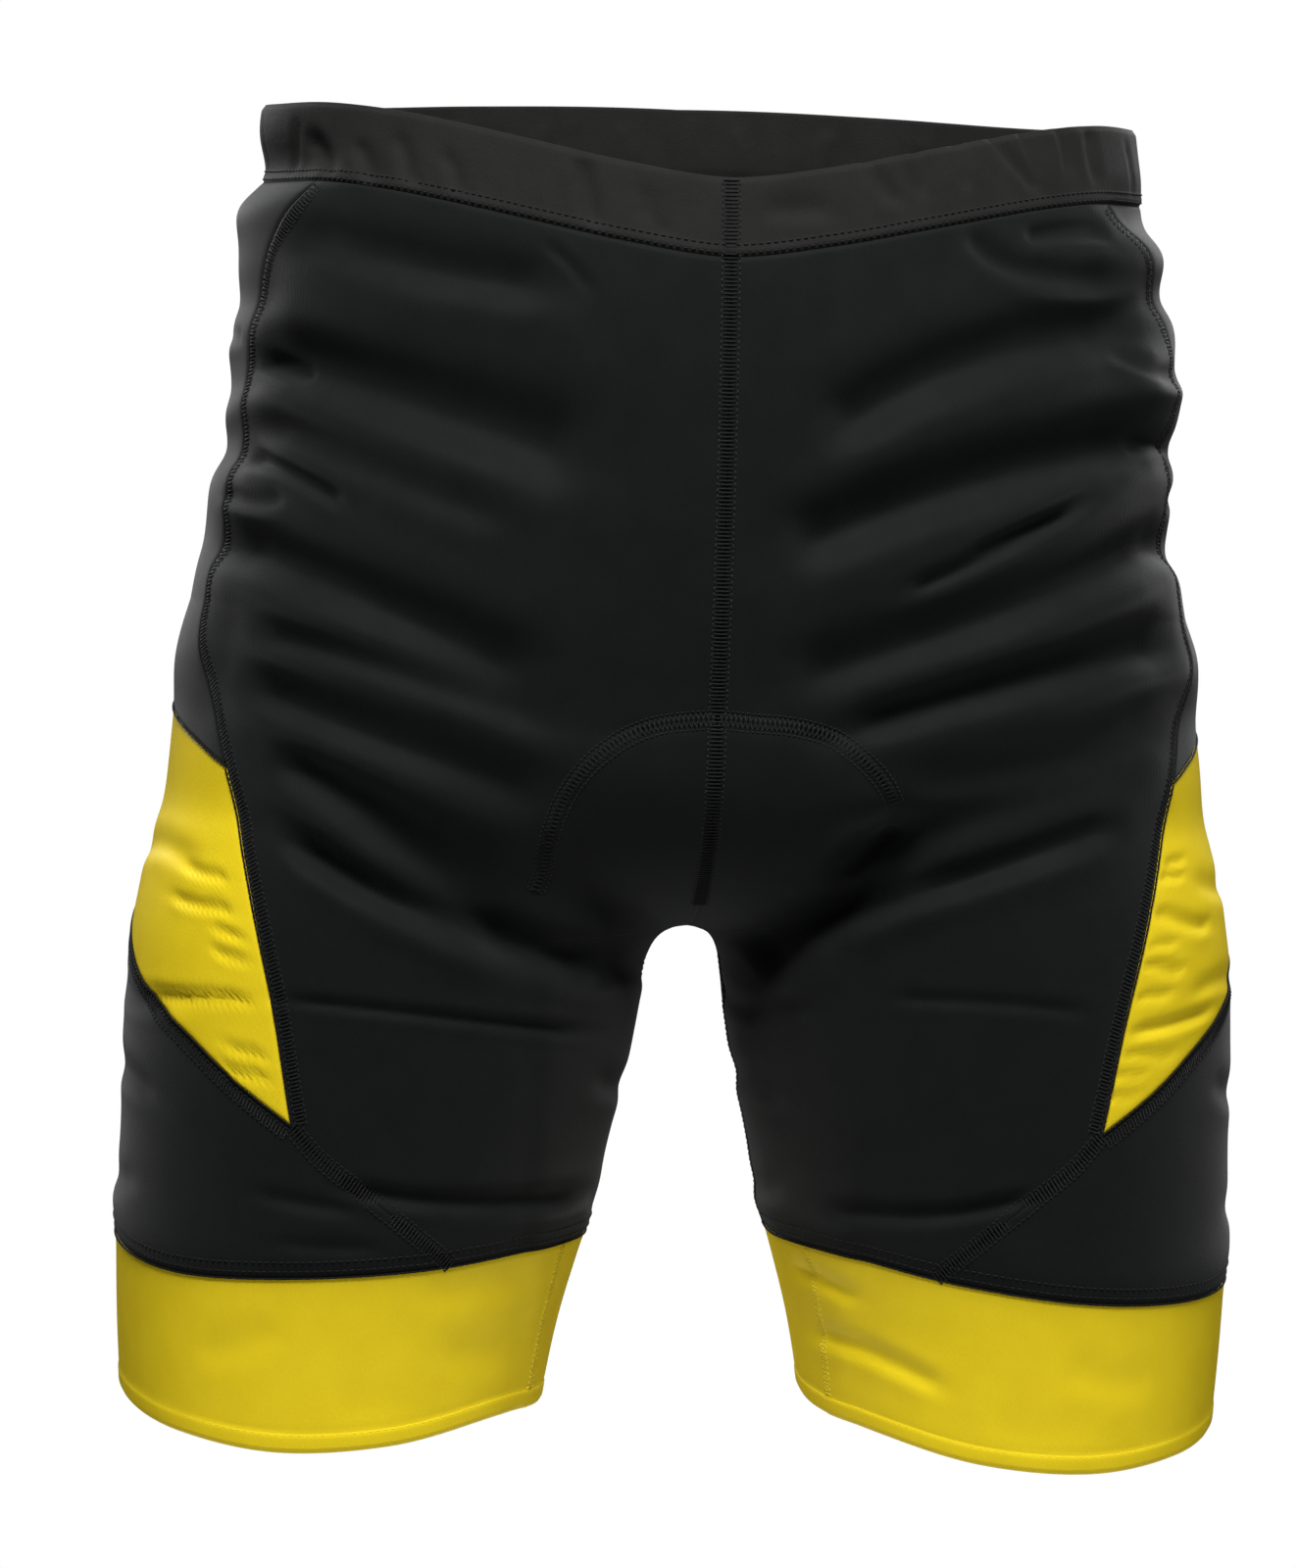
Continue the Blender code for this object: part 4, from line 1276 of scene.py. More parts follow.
@dataclass(frozen=True)
class Thread(Finish):
    """A twisted sewing thread."""

    roughness: float = 0.7
    sheen: float = 0.02
    specular: float = 0.10
    twist: float = 0.0004
    colour_stops: Pair = (0.35, 0.65)
    relief: float = 0.4
    relief_depth: float = 0.2

    def dress(self, nodes: NodeSheet) -> None:
        """Lays down the colour and the relief of the twist.

        Args:
            nodes: the nodes of the material.
        """
        places = nodes.add("ShaderNodeTexCoord", {}, "Object")
        noise = {"Vector": places, "Scale": 1 / self.twist}
        twist = nodes.add("ShaderNodeTexNoise", noise, "Fac")
        bump = {
            "Strength": self.relief,
            "Distance": self.twist * self.relief_depth,
            "Height": twist,
        }
        surface = {
            "Base Color": nodes.ramp(twist, self.colour_stops, (self.second_colour, self.colour)),
            "Roughness": self.roughness,
            "Normal": nodes.add("ShaderNodeBump", bump, "Normal"),
            "Sheen Weight": self.sheen,
            "Specular IOR Level": self.specular,
        }
        nodes.feed(nodes.shader, surface)


BLACK_JERSEY = Knit(
    name="black_jersey_knit",
    colour=(0.0066, 0.0077, 0.0073, 1),
    second_colour=(0.0052, 0.0061, 0.0057, 1),
    roughness=0.62,
    sheen=0.090,
    sheen_roughness=0.46,
    relief=0.30,
    specular=0.025,
)
BLACK_ELASTIC = Knit(
    name="black_elastic_knit",
    colour=(0.0132, 0.0134, 0.0127, 1),
    second_colour=(0.0098, 0.0100, 0.0094, 1),
    roughness=0.75,
    sheen=0.030,
    sheen_roughness=0.50,
    relief=0.45,
    specular=0.06,
)
YELLOW_JERSEY = Knit(
    name="yellow_jersey_knit",
    colour=(0.785, 0.594, 0.0145, 1),
    second_colour=(0.745, 0.553, 0.0125, 1),
    roughness=0.50,
    sheen=0.0,
    sheen_roughness=0.40,
    relief=0.22,
    specular=0.30,
    gloss_tint=(1.0, 0.80, 0.12, 1),
)
BLACK_THREAD = Thread(
    name="black_thread",
    colour=(0.0082, 0.0092, 0.0087, 1),
    second_colour=(0.0054, 0.0060, 0.0056, 1),
    sheen=0.07,
)
# Painted seam shadow: a near-black cord laid in the groove where the black meets the yellow,
# standing in for the groove's shade.
SEAM_SHADOW_CORD = Thread(
    name="dark_binding",
    colour=(0.0040, 0.0040, 0.0040, 1),
    second_colour=(0.0030, 0.0030, 0.0030, 1),
)
YELLOW_THREAD = Thread(
    name="yellow_thread",
    colour=(0.80, 0.63, 0.050, 1),
    second_colour=(0.62, 0.46, 0.020, 1),
)


@dataclass(frozen=True)
class FlatCut:
    """The size of a piece before sewing, in metres and square metres."""

    width: float
    length: float
    area: float


def add_piece(mesh: bpy.types.Mesh, finish: Finish) -> bpy.types.Object:
    """Puts a mesh in the scene as a piece of the shorts.

    Args:
        mesh: its mesh, which carries its name.
        finish: its finish.

    Returns:
        The piece, riding on the body.
    """
    mesh.shade_smooth()
    mesh.materials.append(finish.material())
    piece = bpy.data.objects.new(mesh.name, mesh)
    bpy.context.scene.collection.objects.link(piece)
    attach(piece, BODY)
    return piece


@dataclass(frozen=True)
class Shell:
    """A closed cloth wall between an outer grid of points and an inner one."""

    name: str
    outer: Array
    inner: Array
    ring: bool = False
    flip: bool = False

    def quads(self) -> Array:
        """The faces: both sides of the cloth and its edges.

        Returns:
            Four corners for each face, in order.
        """
        rows, columns = self.outer.shape[:2]
        cells = columns if self.ring else columns - 1
        r, c = np.meshgrid(np.arange(rows - 1), np.arange(cells), indexing="ij")
        after = (c + 1) % columns
        a, b = r * columns + c, (r + 1) * columns + c
        d, e = r * columns + after, (r + 1) * columns + after
        n = rows * columns
        sides = [np.stack([a, b, e, d], -1), np.stack([a, d, e, b], -1) + n]
        top = np.stack([a[0], d[0], d[0] + n, a[0] + n], -1)
        foot = np.stack([e[-1], b[-1], b[-1] + n, e[-1] + n], -1)
        edges = [top, foot]
        if not self.ring:
            near = np.stack([b[:, 0], a[:, 0], a[:, 0] + n, b[:, 0] + n], -1)
            far = np.stack([d[:, -1], e[:, -1], e[:, -1] + n, d[:, -1] + n], -1)
            edges += [near, far]
        faces = np.concatenate([part.reshape(-1, 4) for part in sides + edges])
        return faces[:, ::-1] if self.flip else faces

    def lay(self) -> Array:
        """How far along the cloth each point lies.

        Returns:
            The way across and down to it, in metres.
        """
        right = np.linalg.norm(np.diff(self.outer, axis=1), axis=-1)
        down = np.linalg.norm(np.diff(self.outer, axis=0), axis=-1)
        u = np.concatenate([np.zeros((len(right), 1)), np.cumsum(right, axis=1)], axis=1)
        v = np.concatenate([np.zeros((1, down.shape[1])), np.cumsum(down, axis=0)], axis=0)
        return np.stack([u, v], axis=-1).reshape(-1, 2)

    def mesh(self) -> bpy.types.Mesh:
        """The wall as a mesh.

        Returns:
            The mesh, with its lay on the cloth as UV.
        """
        points = np.concatenate([self.outer.reshape(-1, 3), self.inner.reshape(-1, 3)])
        faces = self.quads()
        made = bpy.data.meshes.new(self.name)
        made.from_pydata(points.tolist(), [], faces.tolist())
        lay = np.tile(self.lay(), (2, 1))[faces.ravel()]
        layer = made.uv_layers.new(name="lay")
        layer.data.foreach_set("uv", lay.astype(np.float32).ravel())
        return made


@dataclass(frozen=True)
class Border:
    """How the edge of a piece looks: it draws back from the seam and rolls in."""

    draw_back: float = 0.00005
    roll_depth: float = 0.00045
    roll_width: float = 0.0011

    def finish(self, points: Array, normals: Array, sides: Sequence[str]) -> Array:
        """Rolls in the named sides of a grid.

        Args:
            points: the grid's points.
            normals: their unit normals.
            sides: any of top, foot, near and far.

        Returns:
            The moved points.
        """
        nearest = np.full(points.shape[:2], np.inf)
        moved = points.copy()
        for side in sides:
            grid = points if side in ("top", "foot") else points.swapaxes(0, 1)
            grid = grid[::-1] if side in ("foot", "far") else grid
            steps = np.linalg.norm(np.diff(grid, axis=0), axis=-1)
            reach = np.concatenate([np.zeros((1, steps.shape[1])), np.cumsum(steps, axis=0)])
            reach = reach[::-1] if side in ("foot", "far") else reach
            nearest = np.minimum(nearest, reach if side in ("top", "foot") else reach.T)
            row = {"top": (0, 1), "foot": (-1, -2)}.get(side)
            if row:
                moved[row[0]] += unit(points[row[1]] - points[row[0]]) * self.draw_back
            else:
                out, into = (0, 1) if side == "near" else (-1, -2)
                moved[:, out] += unit(points[:, into] - points[:, out]) * self.draw_back
        roll = self.roll_depth * np.exp(-((nearest / self.roll_width) ** 2))
        return moved - normals * roll[..., None]


@dataclass(frozen=True)
class BodyPanels:
    """The jersey panels of one half between the waistband and the cuff."""

    cloth: Cloth
    side: Side
    wall: float = 0.0014
    border: Border = Border()
    flat_border: Border = Border(0.00005, 0.00015, 0.0008)
    front_cut: FlatCut = FlatCut(0.200, 0.380, 0.064)
    back_cut: FlatCut = FlatCut(0.225, 0.430, 0.074)
    upper_cut: FlatCut = FlatCut(0.120, 0.210, 0.019)
    yellow_cut: FlatCut = FlatCut(0.170, 0.125, 0.012)
    lower_cut: FlatCut = FlatCut(0.215, 0.140, 0.0185)

    def build(self) -> list[bpy.types.Object]:
        """Builds the five panels.

        Returns:
            The panels.
        """
        net = Net(self.cloth.form, self.cloth.cut, self.side)
        bearings, heights, seams = net.whole()
        base = self.cloth.form.half(bearings, heights)
        points, normals = self.cloth.at(bearings, heights, self.side.value, base)
        yellow, corner, last = net.marks
        first, second = seams
        end = points.shape[1] - 1
        table = (
            ("front_panel", "front", (0, last), (0, first), BLACK_JERSEY, self.front_cut),
            ("back_panel", "back", (0, last), (second, end), BLACK_JERSEY, self.back_cut),
            ("upper_side", "side_upper", (0, yellow), seams, BLACK_JERSEY, self.upper_cut),
            ("yellow_side", "side_yellow", (yellow, corner), seams, YELLOW_JERSEY, self.yellow_cut),
            ("lower_side", "side_lower", (corner, last), seams, BLACK_JERSEY, self.lower_cut),
        )
        pieces = []
        for name, node, rows, columns, finish, flat in table:
            block = slice(rows[0], rows[1] + 1), slice(columns[0], columns[1] + 1)
            pieces.append(self.panel(name, node, points[block], normals[block], finish, flat))
        return pieces

    def panel(
        self, name: str, node: str, points: Array, normals: Array, finish: Knit, flat: FlatCut
    ) -> bpy.types.Object:
        """Builds one panel in place of its solid.

        Args:
            name: the piece's name without its side.
            node: the solid's name without its side.
            points: its outer face.
            normals: the unit normals there.
            finish: its knit.
            flat: its cut; not used.

        Returns:
            The panel.
        """
        butted = {"front_panel": ("near",), "back_panel": ("far",)}.get(name, ())
        rolled = tuple(edge for edge in ("top", "foot", "near", "far") if edge not in butted)
        outer = self.flat_border.finish(points, normals, butted)
        outer = self.border.finish(outer, normals, rolled)
        inner = points - normals * self.wall
        flip = self.side is Side.RIGHT
        shell = Shell(f"{name}_{self.side.word}", outer, inner, flip=flip)
        piece = add_piece(shell.mesh(), finish)
        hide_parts(f"{node}_{self.side.word}")
        return piece


@dataclass(frozen=True)
class Waistband:
    """The elastic band: one ring of doubled cloth, rolled over at its upper edge."""

    cloth: Cloth
    wall: float = 0.0022
    rows: int = 14
    columns: int = 210
    edge_steps: tuple[float, ...] = (0.02, 0.05, 0.09)
    top_roll: Border = Border(0.0, 0.0011, 0.0013)
    foot_roll: Border = Border(0.00005, 0.00055, 0.0011)
    inner_roll_share: float = 0.4
    foot_ridge: float = 0.00035
    ridge_rows: Pair = (0.0006, 0.0034)
    ridge_edge: float = 0.0006
    flat: FlatCut = FlatCut(0.800, 0.029, 0.0228)

    def build(self) -> bpy.types.Object:
        """Builds the band in place of its solid.

        Returns:
            The band.
        """
        cut = self.cloth.cut
        bearings = np.linspace(*self.cloth.waist_span, self.columns + 1)
        steps = np.array(self.edge_steps)
        down = np.sort(np.concatenate([np.linspace(0, 1, self.rows + 1), steps, 1 - steps]))
        heights = cut.waist_edge(bearings) - cut.band_height * down[:, None]
        spread = np.broadcast_to(bearings, heights.shape)
        base = self.cloth.form.half(spread, heights)
        halves = [self.cloth.at(spread, heights, side.value, base) for side in Side]
        points, normals = (
            np.concatenate([halves[0][i], halves[1][i][:, -2:0:-1]], axis=1) for i in (0, 1)
        )
        up = cut.band_height * (1 - down)[:, None]
        low, high = self.ridge_rows
        ridge = ease(up, low, low + self.ridge_edge) * (1 - ease(up, high, high + self.ridge_edge))
        points = points + normals * (self.foot_ridge * ridge)[..., None]
        outer = self.top_roll.finish(points, normals, ("top",))
        outer = self.foot_roll.finish(outer, normals, ("foot",))
        inner = points - normals * self.wall
        inner[0] += normals[0] * self.top_roll.roll_depth * self.inner_roll_share
        shell = Shell("elastic_band", outer, inner, ring=True)
        piece = add_piece(shell.mesh(), BLACK_ELASTIC)
        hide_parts("waistband")
        return piece


@dataclass(frozen=True)
class Cuff:
    """A wide yellow cuff with a turned hem and the ridge of its inner seam."""

    cloth: Cloth
    side: Side
    wall: float = 0.0018
    rows: int = 28
    columns: int = 230
    edge_steps: tuple[float, ...] = (0.012, 0.03)
    hem_steps: tuple[float, ...] = (0.085, 0.10, 0.115)
    hem_width: float = 0.0070
    hem_edge: float = 0.0004
    hem_raise: float = 0.00035
    groove: float = 0.00025
    groove_width: float = 0.0007
    ridge_crowding: float = 1.2
    ridge_half: float = 0.0016
    ridge_raise: float = 0.0003
    top_roll: Border = Border(0.00005, 0.00045, 0.0010)
    foot_roll: Border = Border(0.0, 0.0008, 0.0010)
    flat: FlatCut = FlatCut(0.450, 0.068, 0.0285)

    def build(self) -> bpy.types.Object:
        """Builds the cuff in place of its solid.

        Returns:
            The cuff.
        """
        bearings, down = self.net()
        cut = self.cloth.cut
        top, foot = (cut.leg_edge(e, bearings, self.side.value) for e in ("cuff_seam", "hem"))
        heights = top + (foot - top) * down
        spread = np.broadcast_to(bearings, heights.shape)
        points, normals = self.cloth.at(spread, heights, self.side.value)
        up = heights - foot
        turned = 1 - ease(up, self.hem_width - self.hem_edge, self.hem_width + self.hem_edge)
        line = np.exp(-(((up - self.hem_width) / self.groove_width) ** 2))
        mirror = np.array([self.side.value, 1.0, 1.0])
        offset = points - self.cloth.form.axis_at(heights) * mirror
        radius = np.linalg.norm(offset[..., :2], axis=-1)
        away = np.radians(spread - cut.inner_seam_at(down)) * radius / self.ridge_half
        ridge = np.exp(-(away**2))
        lift = self.hem_raise * turned - self.groove * line + self.ridge_raise * ridge
        points = points + normals * lift[..., None]
        outer = self.top_roll.finish(points, normals, ("top",))
        outer = self.foot_roll.finish(outer, normals, ("foot",))
        inner = points - normals * self.wall
        flip = self.side is Side.RIGHT
        shell = Shell(f"yellow_cuff_{self.side.word}", outer, inner, ring=True, flip=flip)
        piece = add_piece(shell.mesh(), YELLOW_JERSEY)
        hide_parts(f"cuff_{self.side.word}")
        return piece

    def net(self) -> tuple[Array, Array]:
        """The cuff's grid, closer together at the edges, the hem's fold and the inner seam.

        Returns:
            The bearings of the columns, and how far down each row lies, as a column of shares.
        """
        even = np.linspace(-90, 270, self.columns + 1)[:-1]
        seam = self.cloth.cut.inner_seam[0]
        beside = np.array([seam - self.ridge_crowding, seam + self.ridge_crowding])
        bearings = np.sort(np.concatenate([even, beside]))
        rows, steps = np.linspace(0, 1, self.rows + 1), np.array(self.edge_steps)
        hem = 1 - np.array(self.hem_steps)
        return bearings, np.sort(np.concatenate([rows, steps, 1 - steps, hem]))[:, None]


@dataclass(frozen=True)
class SeamLine:
    """A line of places on one half of the form, evenly close together."""

    form: WornForm
    bearings: Array
    heights: Array

    @cached_property
    def base(self) -> Array:
        """The line's points on the form's left half."""
        return self.form.surface(self.bearings, self.heights)

    def spaced(self, pitch: float) -> "SeamLine":
        """The same line with points a given distance apart.

        Args:
            pitch: the distance.

        Returns:
            The new line.
        """
        along = run_length(self.base)
        at = np.linspace(0, along[-1], max(int(round(along[-1] / pitch)), 2) + 1)
        return SeamLine(
            self.form, np.interp(at, along, self.bearings), np.interp(at, along, self.heights)
        )

    def beside(self, distance: float) -> "SeamLine":
        """The line that runs beside this one on the form.

        Args:
            distance: how far it lies to the left of the line's own direction, seen from outside.

        Returns:
            The new line.
        """
        along = unit(np.gradient(self.base, axis=0))
        across = unit(np.cross(self.form.normals(self.base), along))
        bearings, heights = self.form.locate(self.base + across * distance)
        turns = np.round((self.bearings - bearings) / 360) * 360
        return SeamLine(self.form, bearings + turns, heights)


@dataclass(frozen=True)
class Stitch:
    """A running stitch: its length with the gap, the share of it that is thread, and its radius."""

    pitch: float
    fill: float
    radius: float


@dataclass(frozen=True)
class Rung:
    """A thread across a seam: the way to the next one, how many rungs on it ends, its radius."""

    pitch: float
    slant: float
    radius: float


@dataclass(frozen=True)
class StitchSet:
    """Sewing on the cloth, gathered into one mesh of short threads."""

    cloth: Cloth
    name: str
    finish: Thread
    slot: str
    corners: int = 5
    shares: tuple[float, ...] = (0.0, 0.22, 0.78, 1.0)
    widths: tuple[float, ...] = (0.45, 1.0, 1.0, 0.45)
    rises: tuple[float, ...] = (-0.5, 0.5, 0.5, -0.5)

    def threads(self, starts: Array, ends: Array, normals: Array, radius: float) -> list[Array]:
        """Short threads that rise from the cloth and dip into it at both ends.

        Args:
            starts: where they start.
            ends: where they end.
            normals: the cloth's unit normals there.
            radius: half their thickness.

        Returns:
            Their points, and their faces as indices into them.
        """
        along = unit(ends - starts)
        across = unit(np.cross(normals, along))
        turn = 2 * np.pi * np.arange(self.corners) / self.corners
        rings = []
        for share, width, rise in zip(self.shares, self.widths, self.rises):
            centre = starts + (ends - starts) * share + normals * radius * rise
            level = across[:, None] * np.cos(turn)[:, None]
            wheel = level + normals[:, None] * np.sin(turn)[:, None]
            rings.append(centre[:, None] + wheel * radius * width)
        points = np.stack(rings, axis=1).reshape(-1, 3)
        k = np.arange(self.corners)
        after = (k + 1) % self.corners
        ring = np.stack([k, after, after + self.corners, k + self.corners], -1)
        one = np.concatenate([ring + j * self.corners for j in range(len(self.shares) - 1)])
        first = np.arange(len(starts)) * len(self.shares) * self.corners
        return [points, (one[None] + first[:, None, None]).reshape(-1, 4)]

    def row(self, line: SeamLine, side: Side, stitch: Stitch) -> list[Array]:
        """A row of running stitches along a line.

        Args:
            line: where it runs.
            side: the half it lies on.
            stitch: its stitch.

        Returns:
            The threads' points and faces.
        """
        spaced = line.spaced(stitch.pitch)
        points, normals = self.cloth.at(spaced.bearings, spaced.heights, side.value)
        step = np.diff(points, axis=0)
        gap = (1 - stitch.fill) / 2
        starts, ends = points[:-1] + step * gap, points[1:] - step * gap
        return self.threads(starts, ends, unit(normals[:-1] + normals[1:]), stitch.radius)

    def rungs(self, line: SeamLine, side: Side, reach: Pair, rung: Rung) -> list[Array]:
        """Threads that cross a line, as in a flat seam.

        Args:
            line: the line they cross.
            side: the half it lies on.
            reach: how far they lie to its right and to its left.
            rung: one of them.

        Returns:
            The threads' points and faces.
        """
        spaced = line.spaced(rung.pitch)
        right, left = spaced.beside(reach[0]), spaced.beside(reach[1])
        starts, normals = self.cloth.at(right.bearings, right.heights, side.value)
        ends, _ = self.cloth.at(left.bearings, left.heights, side.value)
        ends = ends[:-1] + np.diff(ends, axis=0) * rung.slant
        return self.threads(starts[:-1], ends, normals[:-1], rung.radius)

    def build(self, parts: Sequence[list[Array]]) -> bpy.types.Object:
        """Makes one piece of all threads.

        Args:
            parts: points and faces of each row.

        Returns:
            The piece.
        """
        points, faces, count = [], [], 0
        for part_points, part_faces in parts:
            points.append(part_points)
            faces.append(part_faces + count)
            count += len(part_points)
        made = bpy.data.meshes.new(self.name)
        made.from_pydata(np.concatenate(points).tolist(), [], np.concatenate(faces).tolist())
        return add_piece(made, self.finish)


@dataclass(frozen=True)
class Stitching:
    """All sewing of the shorts.

    A reach is how far the edges of a flat seam lie to its right and its left. A guide is how far
    apart the points are that a row beside a seam is laid from. Ends and gaps tell where a seam stops
    short, and counts of points are those of the lines before they are spaced out.
    """

    cloth: Cloth
    edge_stitch: Stitch = Stitch(0.0021, 0.7, 0.00026)
    band_stitch: Stitch = Stitch(0.0026, 0.74, 0.00034)
    cuff_stitch: Stitch = Stitch(0.0026, 0.74, 0.00026)
    hem_stitch: Stitch = Stitch(0.0028, 0.7, 0.00018)
    arc_stitch: Stitch = Stitch(0.0018, 0.72, 0.00026)
    # The stitch of the near-black cord that paints the seam groove's shadow.
    binding_stitch: Stitch = Stitch(0.0022, 1.25, 0.00038)
    seam_rung: Rung = Rung(0.00135, 0.5, 0.00028)
    arc_rung: Rung = Rung(0.0017, 0.9, 0.00028)
    flat_half: float = 0.0030
    side_reach: Pair = (-0.0056, -0.0014)
    back_reach: Pair = (0.0014, 0.0056)
    cuff_reach: Pair = (-0.0014, 0.0014)
    band_rows: Pair = (0.0042, 0.0013)
    band_end: float = 0.5
    cuff_rows: Pair = (0.0027, 0.0063)
    hem_row: float = 0.0066
    cuff_ends: Pair = (0.02, 0.99)
    middle_top: float = 0.0012
    fork_gap: float = 0.012
    inner_foot: float = -0.397
    arc: tuple[Pair, ...] = (
        (-60, -268), (-58, -261), (-57, -252), (-53.5, -239), (-46, -225),
        (-35, -215), (-23, -209), (-13, -207), (1, -206), (13, -207),
        (27, -208), (39, -211), (50, -218), (59, -227), (63.5, -235),
    )
    arc_half: float = 0.0032
    arc_rung_share: float = 0.8
    arc_middle: float = 0.0004
    arc_guide: float = 0.003
    seam_guide: float = 0.004
    round_points: int = 240
    arc_points: int = 150
    slope_points: int = 80
    top_points: int = 60
    inner_points: int = 40

    def set(
        self, name: str, finish: Thread = BLACK_THREAD, slot: str = "black_jersey"
    ) -> StitchSet:
        """An empty set of threads."""
        return StitchSet(self.cloth, name, finish, slot)

    def line(self, bearings: Array, heights: Array) -> SeamLine:
        """A line on the form."""
        return SeamLine(self.cloth.form, bearings, heights)

    def cuff_line(self, edge: str, side: Side, above: float = 0.0) -> SeamLine:
        """A line round one cuff.

        Args:
            edge: cuff_seam or hem.
            side: the leg.
            above: how far above that edge it runs.

        Returns:
            The line.
        """
        bearings = np.linspace(-90, 270, self.round_points)
        heights = self.cloth.cut.leg_edge(edge, bearings, side.value) + above
        return self.line(bearings, heights)

    def panel_seams(self, side: Side) -> dict[str, SeamLine]:
        """The seams of the side panels of one half.

        Args:
            side: the half.

        Returns:
            The lines, by name.
        """
        net = Net(self.cloth.form, self.cloth.cut, side)
        yellow, corner, _ = net.marks
        curves = self.cloth.cut.curves
        front, back = net.side_front(), net.side_back()
        above, below, beside = slice(corner + 1), slice(corner, None), slice(yellow, corner + 1)
        top = np.linspace(front[0][yellow], back[0][yellow], self.top_points)
        slope = np.linspace(front[0][corner], back[0][corner], self.slope_points)
        return {
            "front": self.line(front[0][above], front[1][above]),
            "front_diagonal": self.line(front[0][below], front[1][below]),
            "back": self.line(*back),
            "diagonal": self.line(slope, curves["diagonal"].at(slope)[0]),
            "yellow_front": self.line(front[0][beside], front[1][beside]),
            "yellow_back": self.line(back[0][beside], back[1][beside]),
            "yellow_top": self.line(top, curves["yellow_top"].at(top)[0]),
        }

    def ladder(
        self, threads: StitchSet, line: SeamLine, side: Side, reach: Pair
    ) -> list[list[Array]]:
        """A flat seam: rungs between two rows of stitches.

        Args:
            threads: the set that it belongs to.
            line: the seam.
            side: the half it lies on.
            reach: how far its edges lie to the seam's right and left.

        Returns:
            The points and faces of its rows.
        """
        rows = [threads.rungs(line, side, reach, self.seam_rung)]
        for distance in reach:
            beside = line.spaced(self.seam_guide).beside(distance)
            rows.append(threads.row(beside, side, self.edge_stitch))
        return rows

    def middle_seam(self, facing: Facing, name: str) -> bpy.types.Object:
        """The flat seam down the middle, whose rungs cross from one half to the other.

        Args:
            facing: the front or the back.
            name: the piece's name.

        Returns:
            The piece.
        """
        form, cut = self.cloth.form, self.cloth.cut
        start = self.cloth.waist_span[0 if facing is Facing.FRONT else 1]
        high = float(cut.waist_edge(start)) - self.middle_top
        heights = np.linspace(high, form.fork[2] + self.fork_gap, self.round_points)
        along = run_length(form.middle(heights, facing))
        at = np.arange(0, along[-1], self.seam_rung.pitch)
        points = form.middle(np.interp(at, along, heights), facing)
        points[:, 0] = self.flat_half
        bearings, edge = form.locate(points)
        wraps = (facing is Facing.BACK) & (bearings < 0)
        bearings = np.where(wraps, bearings + 360, bearings)
        threads = self.set(name)
        rows = [threads.row(self.line(bearings, edge), side, self.edge_stitch) for side in Side]
        left, right = (self.cloth.at(bearings, edge, side.value) for side in Side)
        crossing = unit(left[1] + right[1])
        rows.append(threads.threads(left[0], right[0], crossing, self.seam_rung.radius))
        return threads.build(rows)

    def side_seams(self, side: Side) -> bpy.types.Object:
        """The ladder stitching of the side, inner and diagonal seams of one half.

        Args:
            side: the half.

        Returns:
            The piece.
        """
        threads = self.set(f"side_seam_stitches_{side.word}")
        seams = self.panel_seams(side)
        top = self.cloth.form.fork[2] - self.fork_gap
        heights = np.linspace(top, self.inner_foot, self.inner_points)
        inner = self.line(np.full(self.inner_points, -90.0), heights)
        middle = (-self.flat_half, self.flat_half)
        rows = self.ladder(threads, seams["front"], side, self.side_reach)
        rows += self.ladder(threads, seams["front_diagonal"], side, middle)
        rows += self.ladder(threads, seams["back"], side, self.back_reach)
        rows += self.ladder(threads, seams["diagonal"], side, self.side_reach)
        rows += self.ladder(threads, inner, side, middle)
        return threads.build(rows)

    def band_stitches(self) -> bpy.types.Object:
        """The twin rows at the foot of the waistband.

        Returns:
            The piece.
        """
        start, end = self.cloth.waist_span
        bearings = np.linspace(start + self.band_end, end - self.band_end, self.round_points)
        threads = self.set("waistband_stitches", slot="black_band")
        foot = self.cloth.cut.band_seam(bearings)
        lines = [self.line(bearings, foot + above) for above in self.band_rows]
        rows = [threads.row(line, side, self.band_stitch) for line in lines for side in Side]
        return threads.build(rows)

    def cuff_stitches(self, side: Side) -> bpy.types.Object:
        """The twin rows above one cuff.

        Args:
            side: the leg.

        Returns:
            The piece.
        """
        threads = self.set(f"cuff_seam_stitches_{side.word}")
        lines = [self.cuff_line("cuff_seam", side, above) for above in self.cuff_rows]
        return threads.build([threads.row(line, side, self.cuff_stitch) for line in lines])

    def hem_stitches(self, side: Side) -> bpy.types.Object:
        """The faint row that holds the turned hem of one cuff, and the cuff's inner seam.

        Args:
            side: the leg.

        Returns:
            The piece.
        """
        cut = self.cloth.cut
        threads = self.set(f"hem_stitches_{side.word}", YELLOW_THREAD, "yellow_jersey")
        down = np.linspace(*self.cuff_ends, self.inner_points)
        bearings = cut.inner_seam_at(down)
        top, foot = (cut.leg_edge(e, bearings, side.value) for e in ("cuff_seam", "hem"))
        inner = self.line(bearings, top + (foot - top) * down)
        rows = [threads.row(self.cuff_line("hem", side, self.hem_row), side, self.hem_stitch)]
        rows += self.ladder(threads, inner, side, self.cuff_reach)
        return threads.build(rows)

    def seam_lines(self, side: Side) -> bpy.types.Object:
        """A near-black cord of painted shadow along the groove where the black is sewn over the
        yellow.

        Args:
            side: the half.

        Returns:
            The piece.
        """
        # Painted shadow: a near-black cord along the yellow panel's seams and the cuff seam.
        threads = self.set(f"yellow_seam_line_{side.word}", SEAM_SHADOW_CORD)
        seams = self.panel_seams(side)
        lines = [seams[name] for name in ("yellow_front", "yellow_back", "yellow_top", "diagonal")]
        lines.append(self.cuff_line("cuff_seam", side))
        return threads.build([threads.row(line, side, self.binding_stitch) for line in lines])

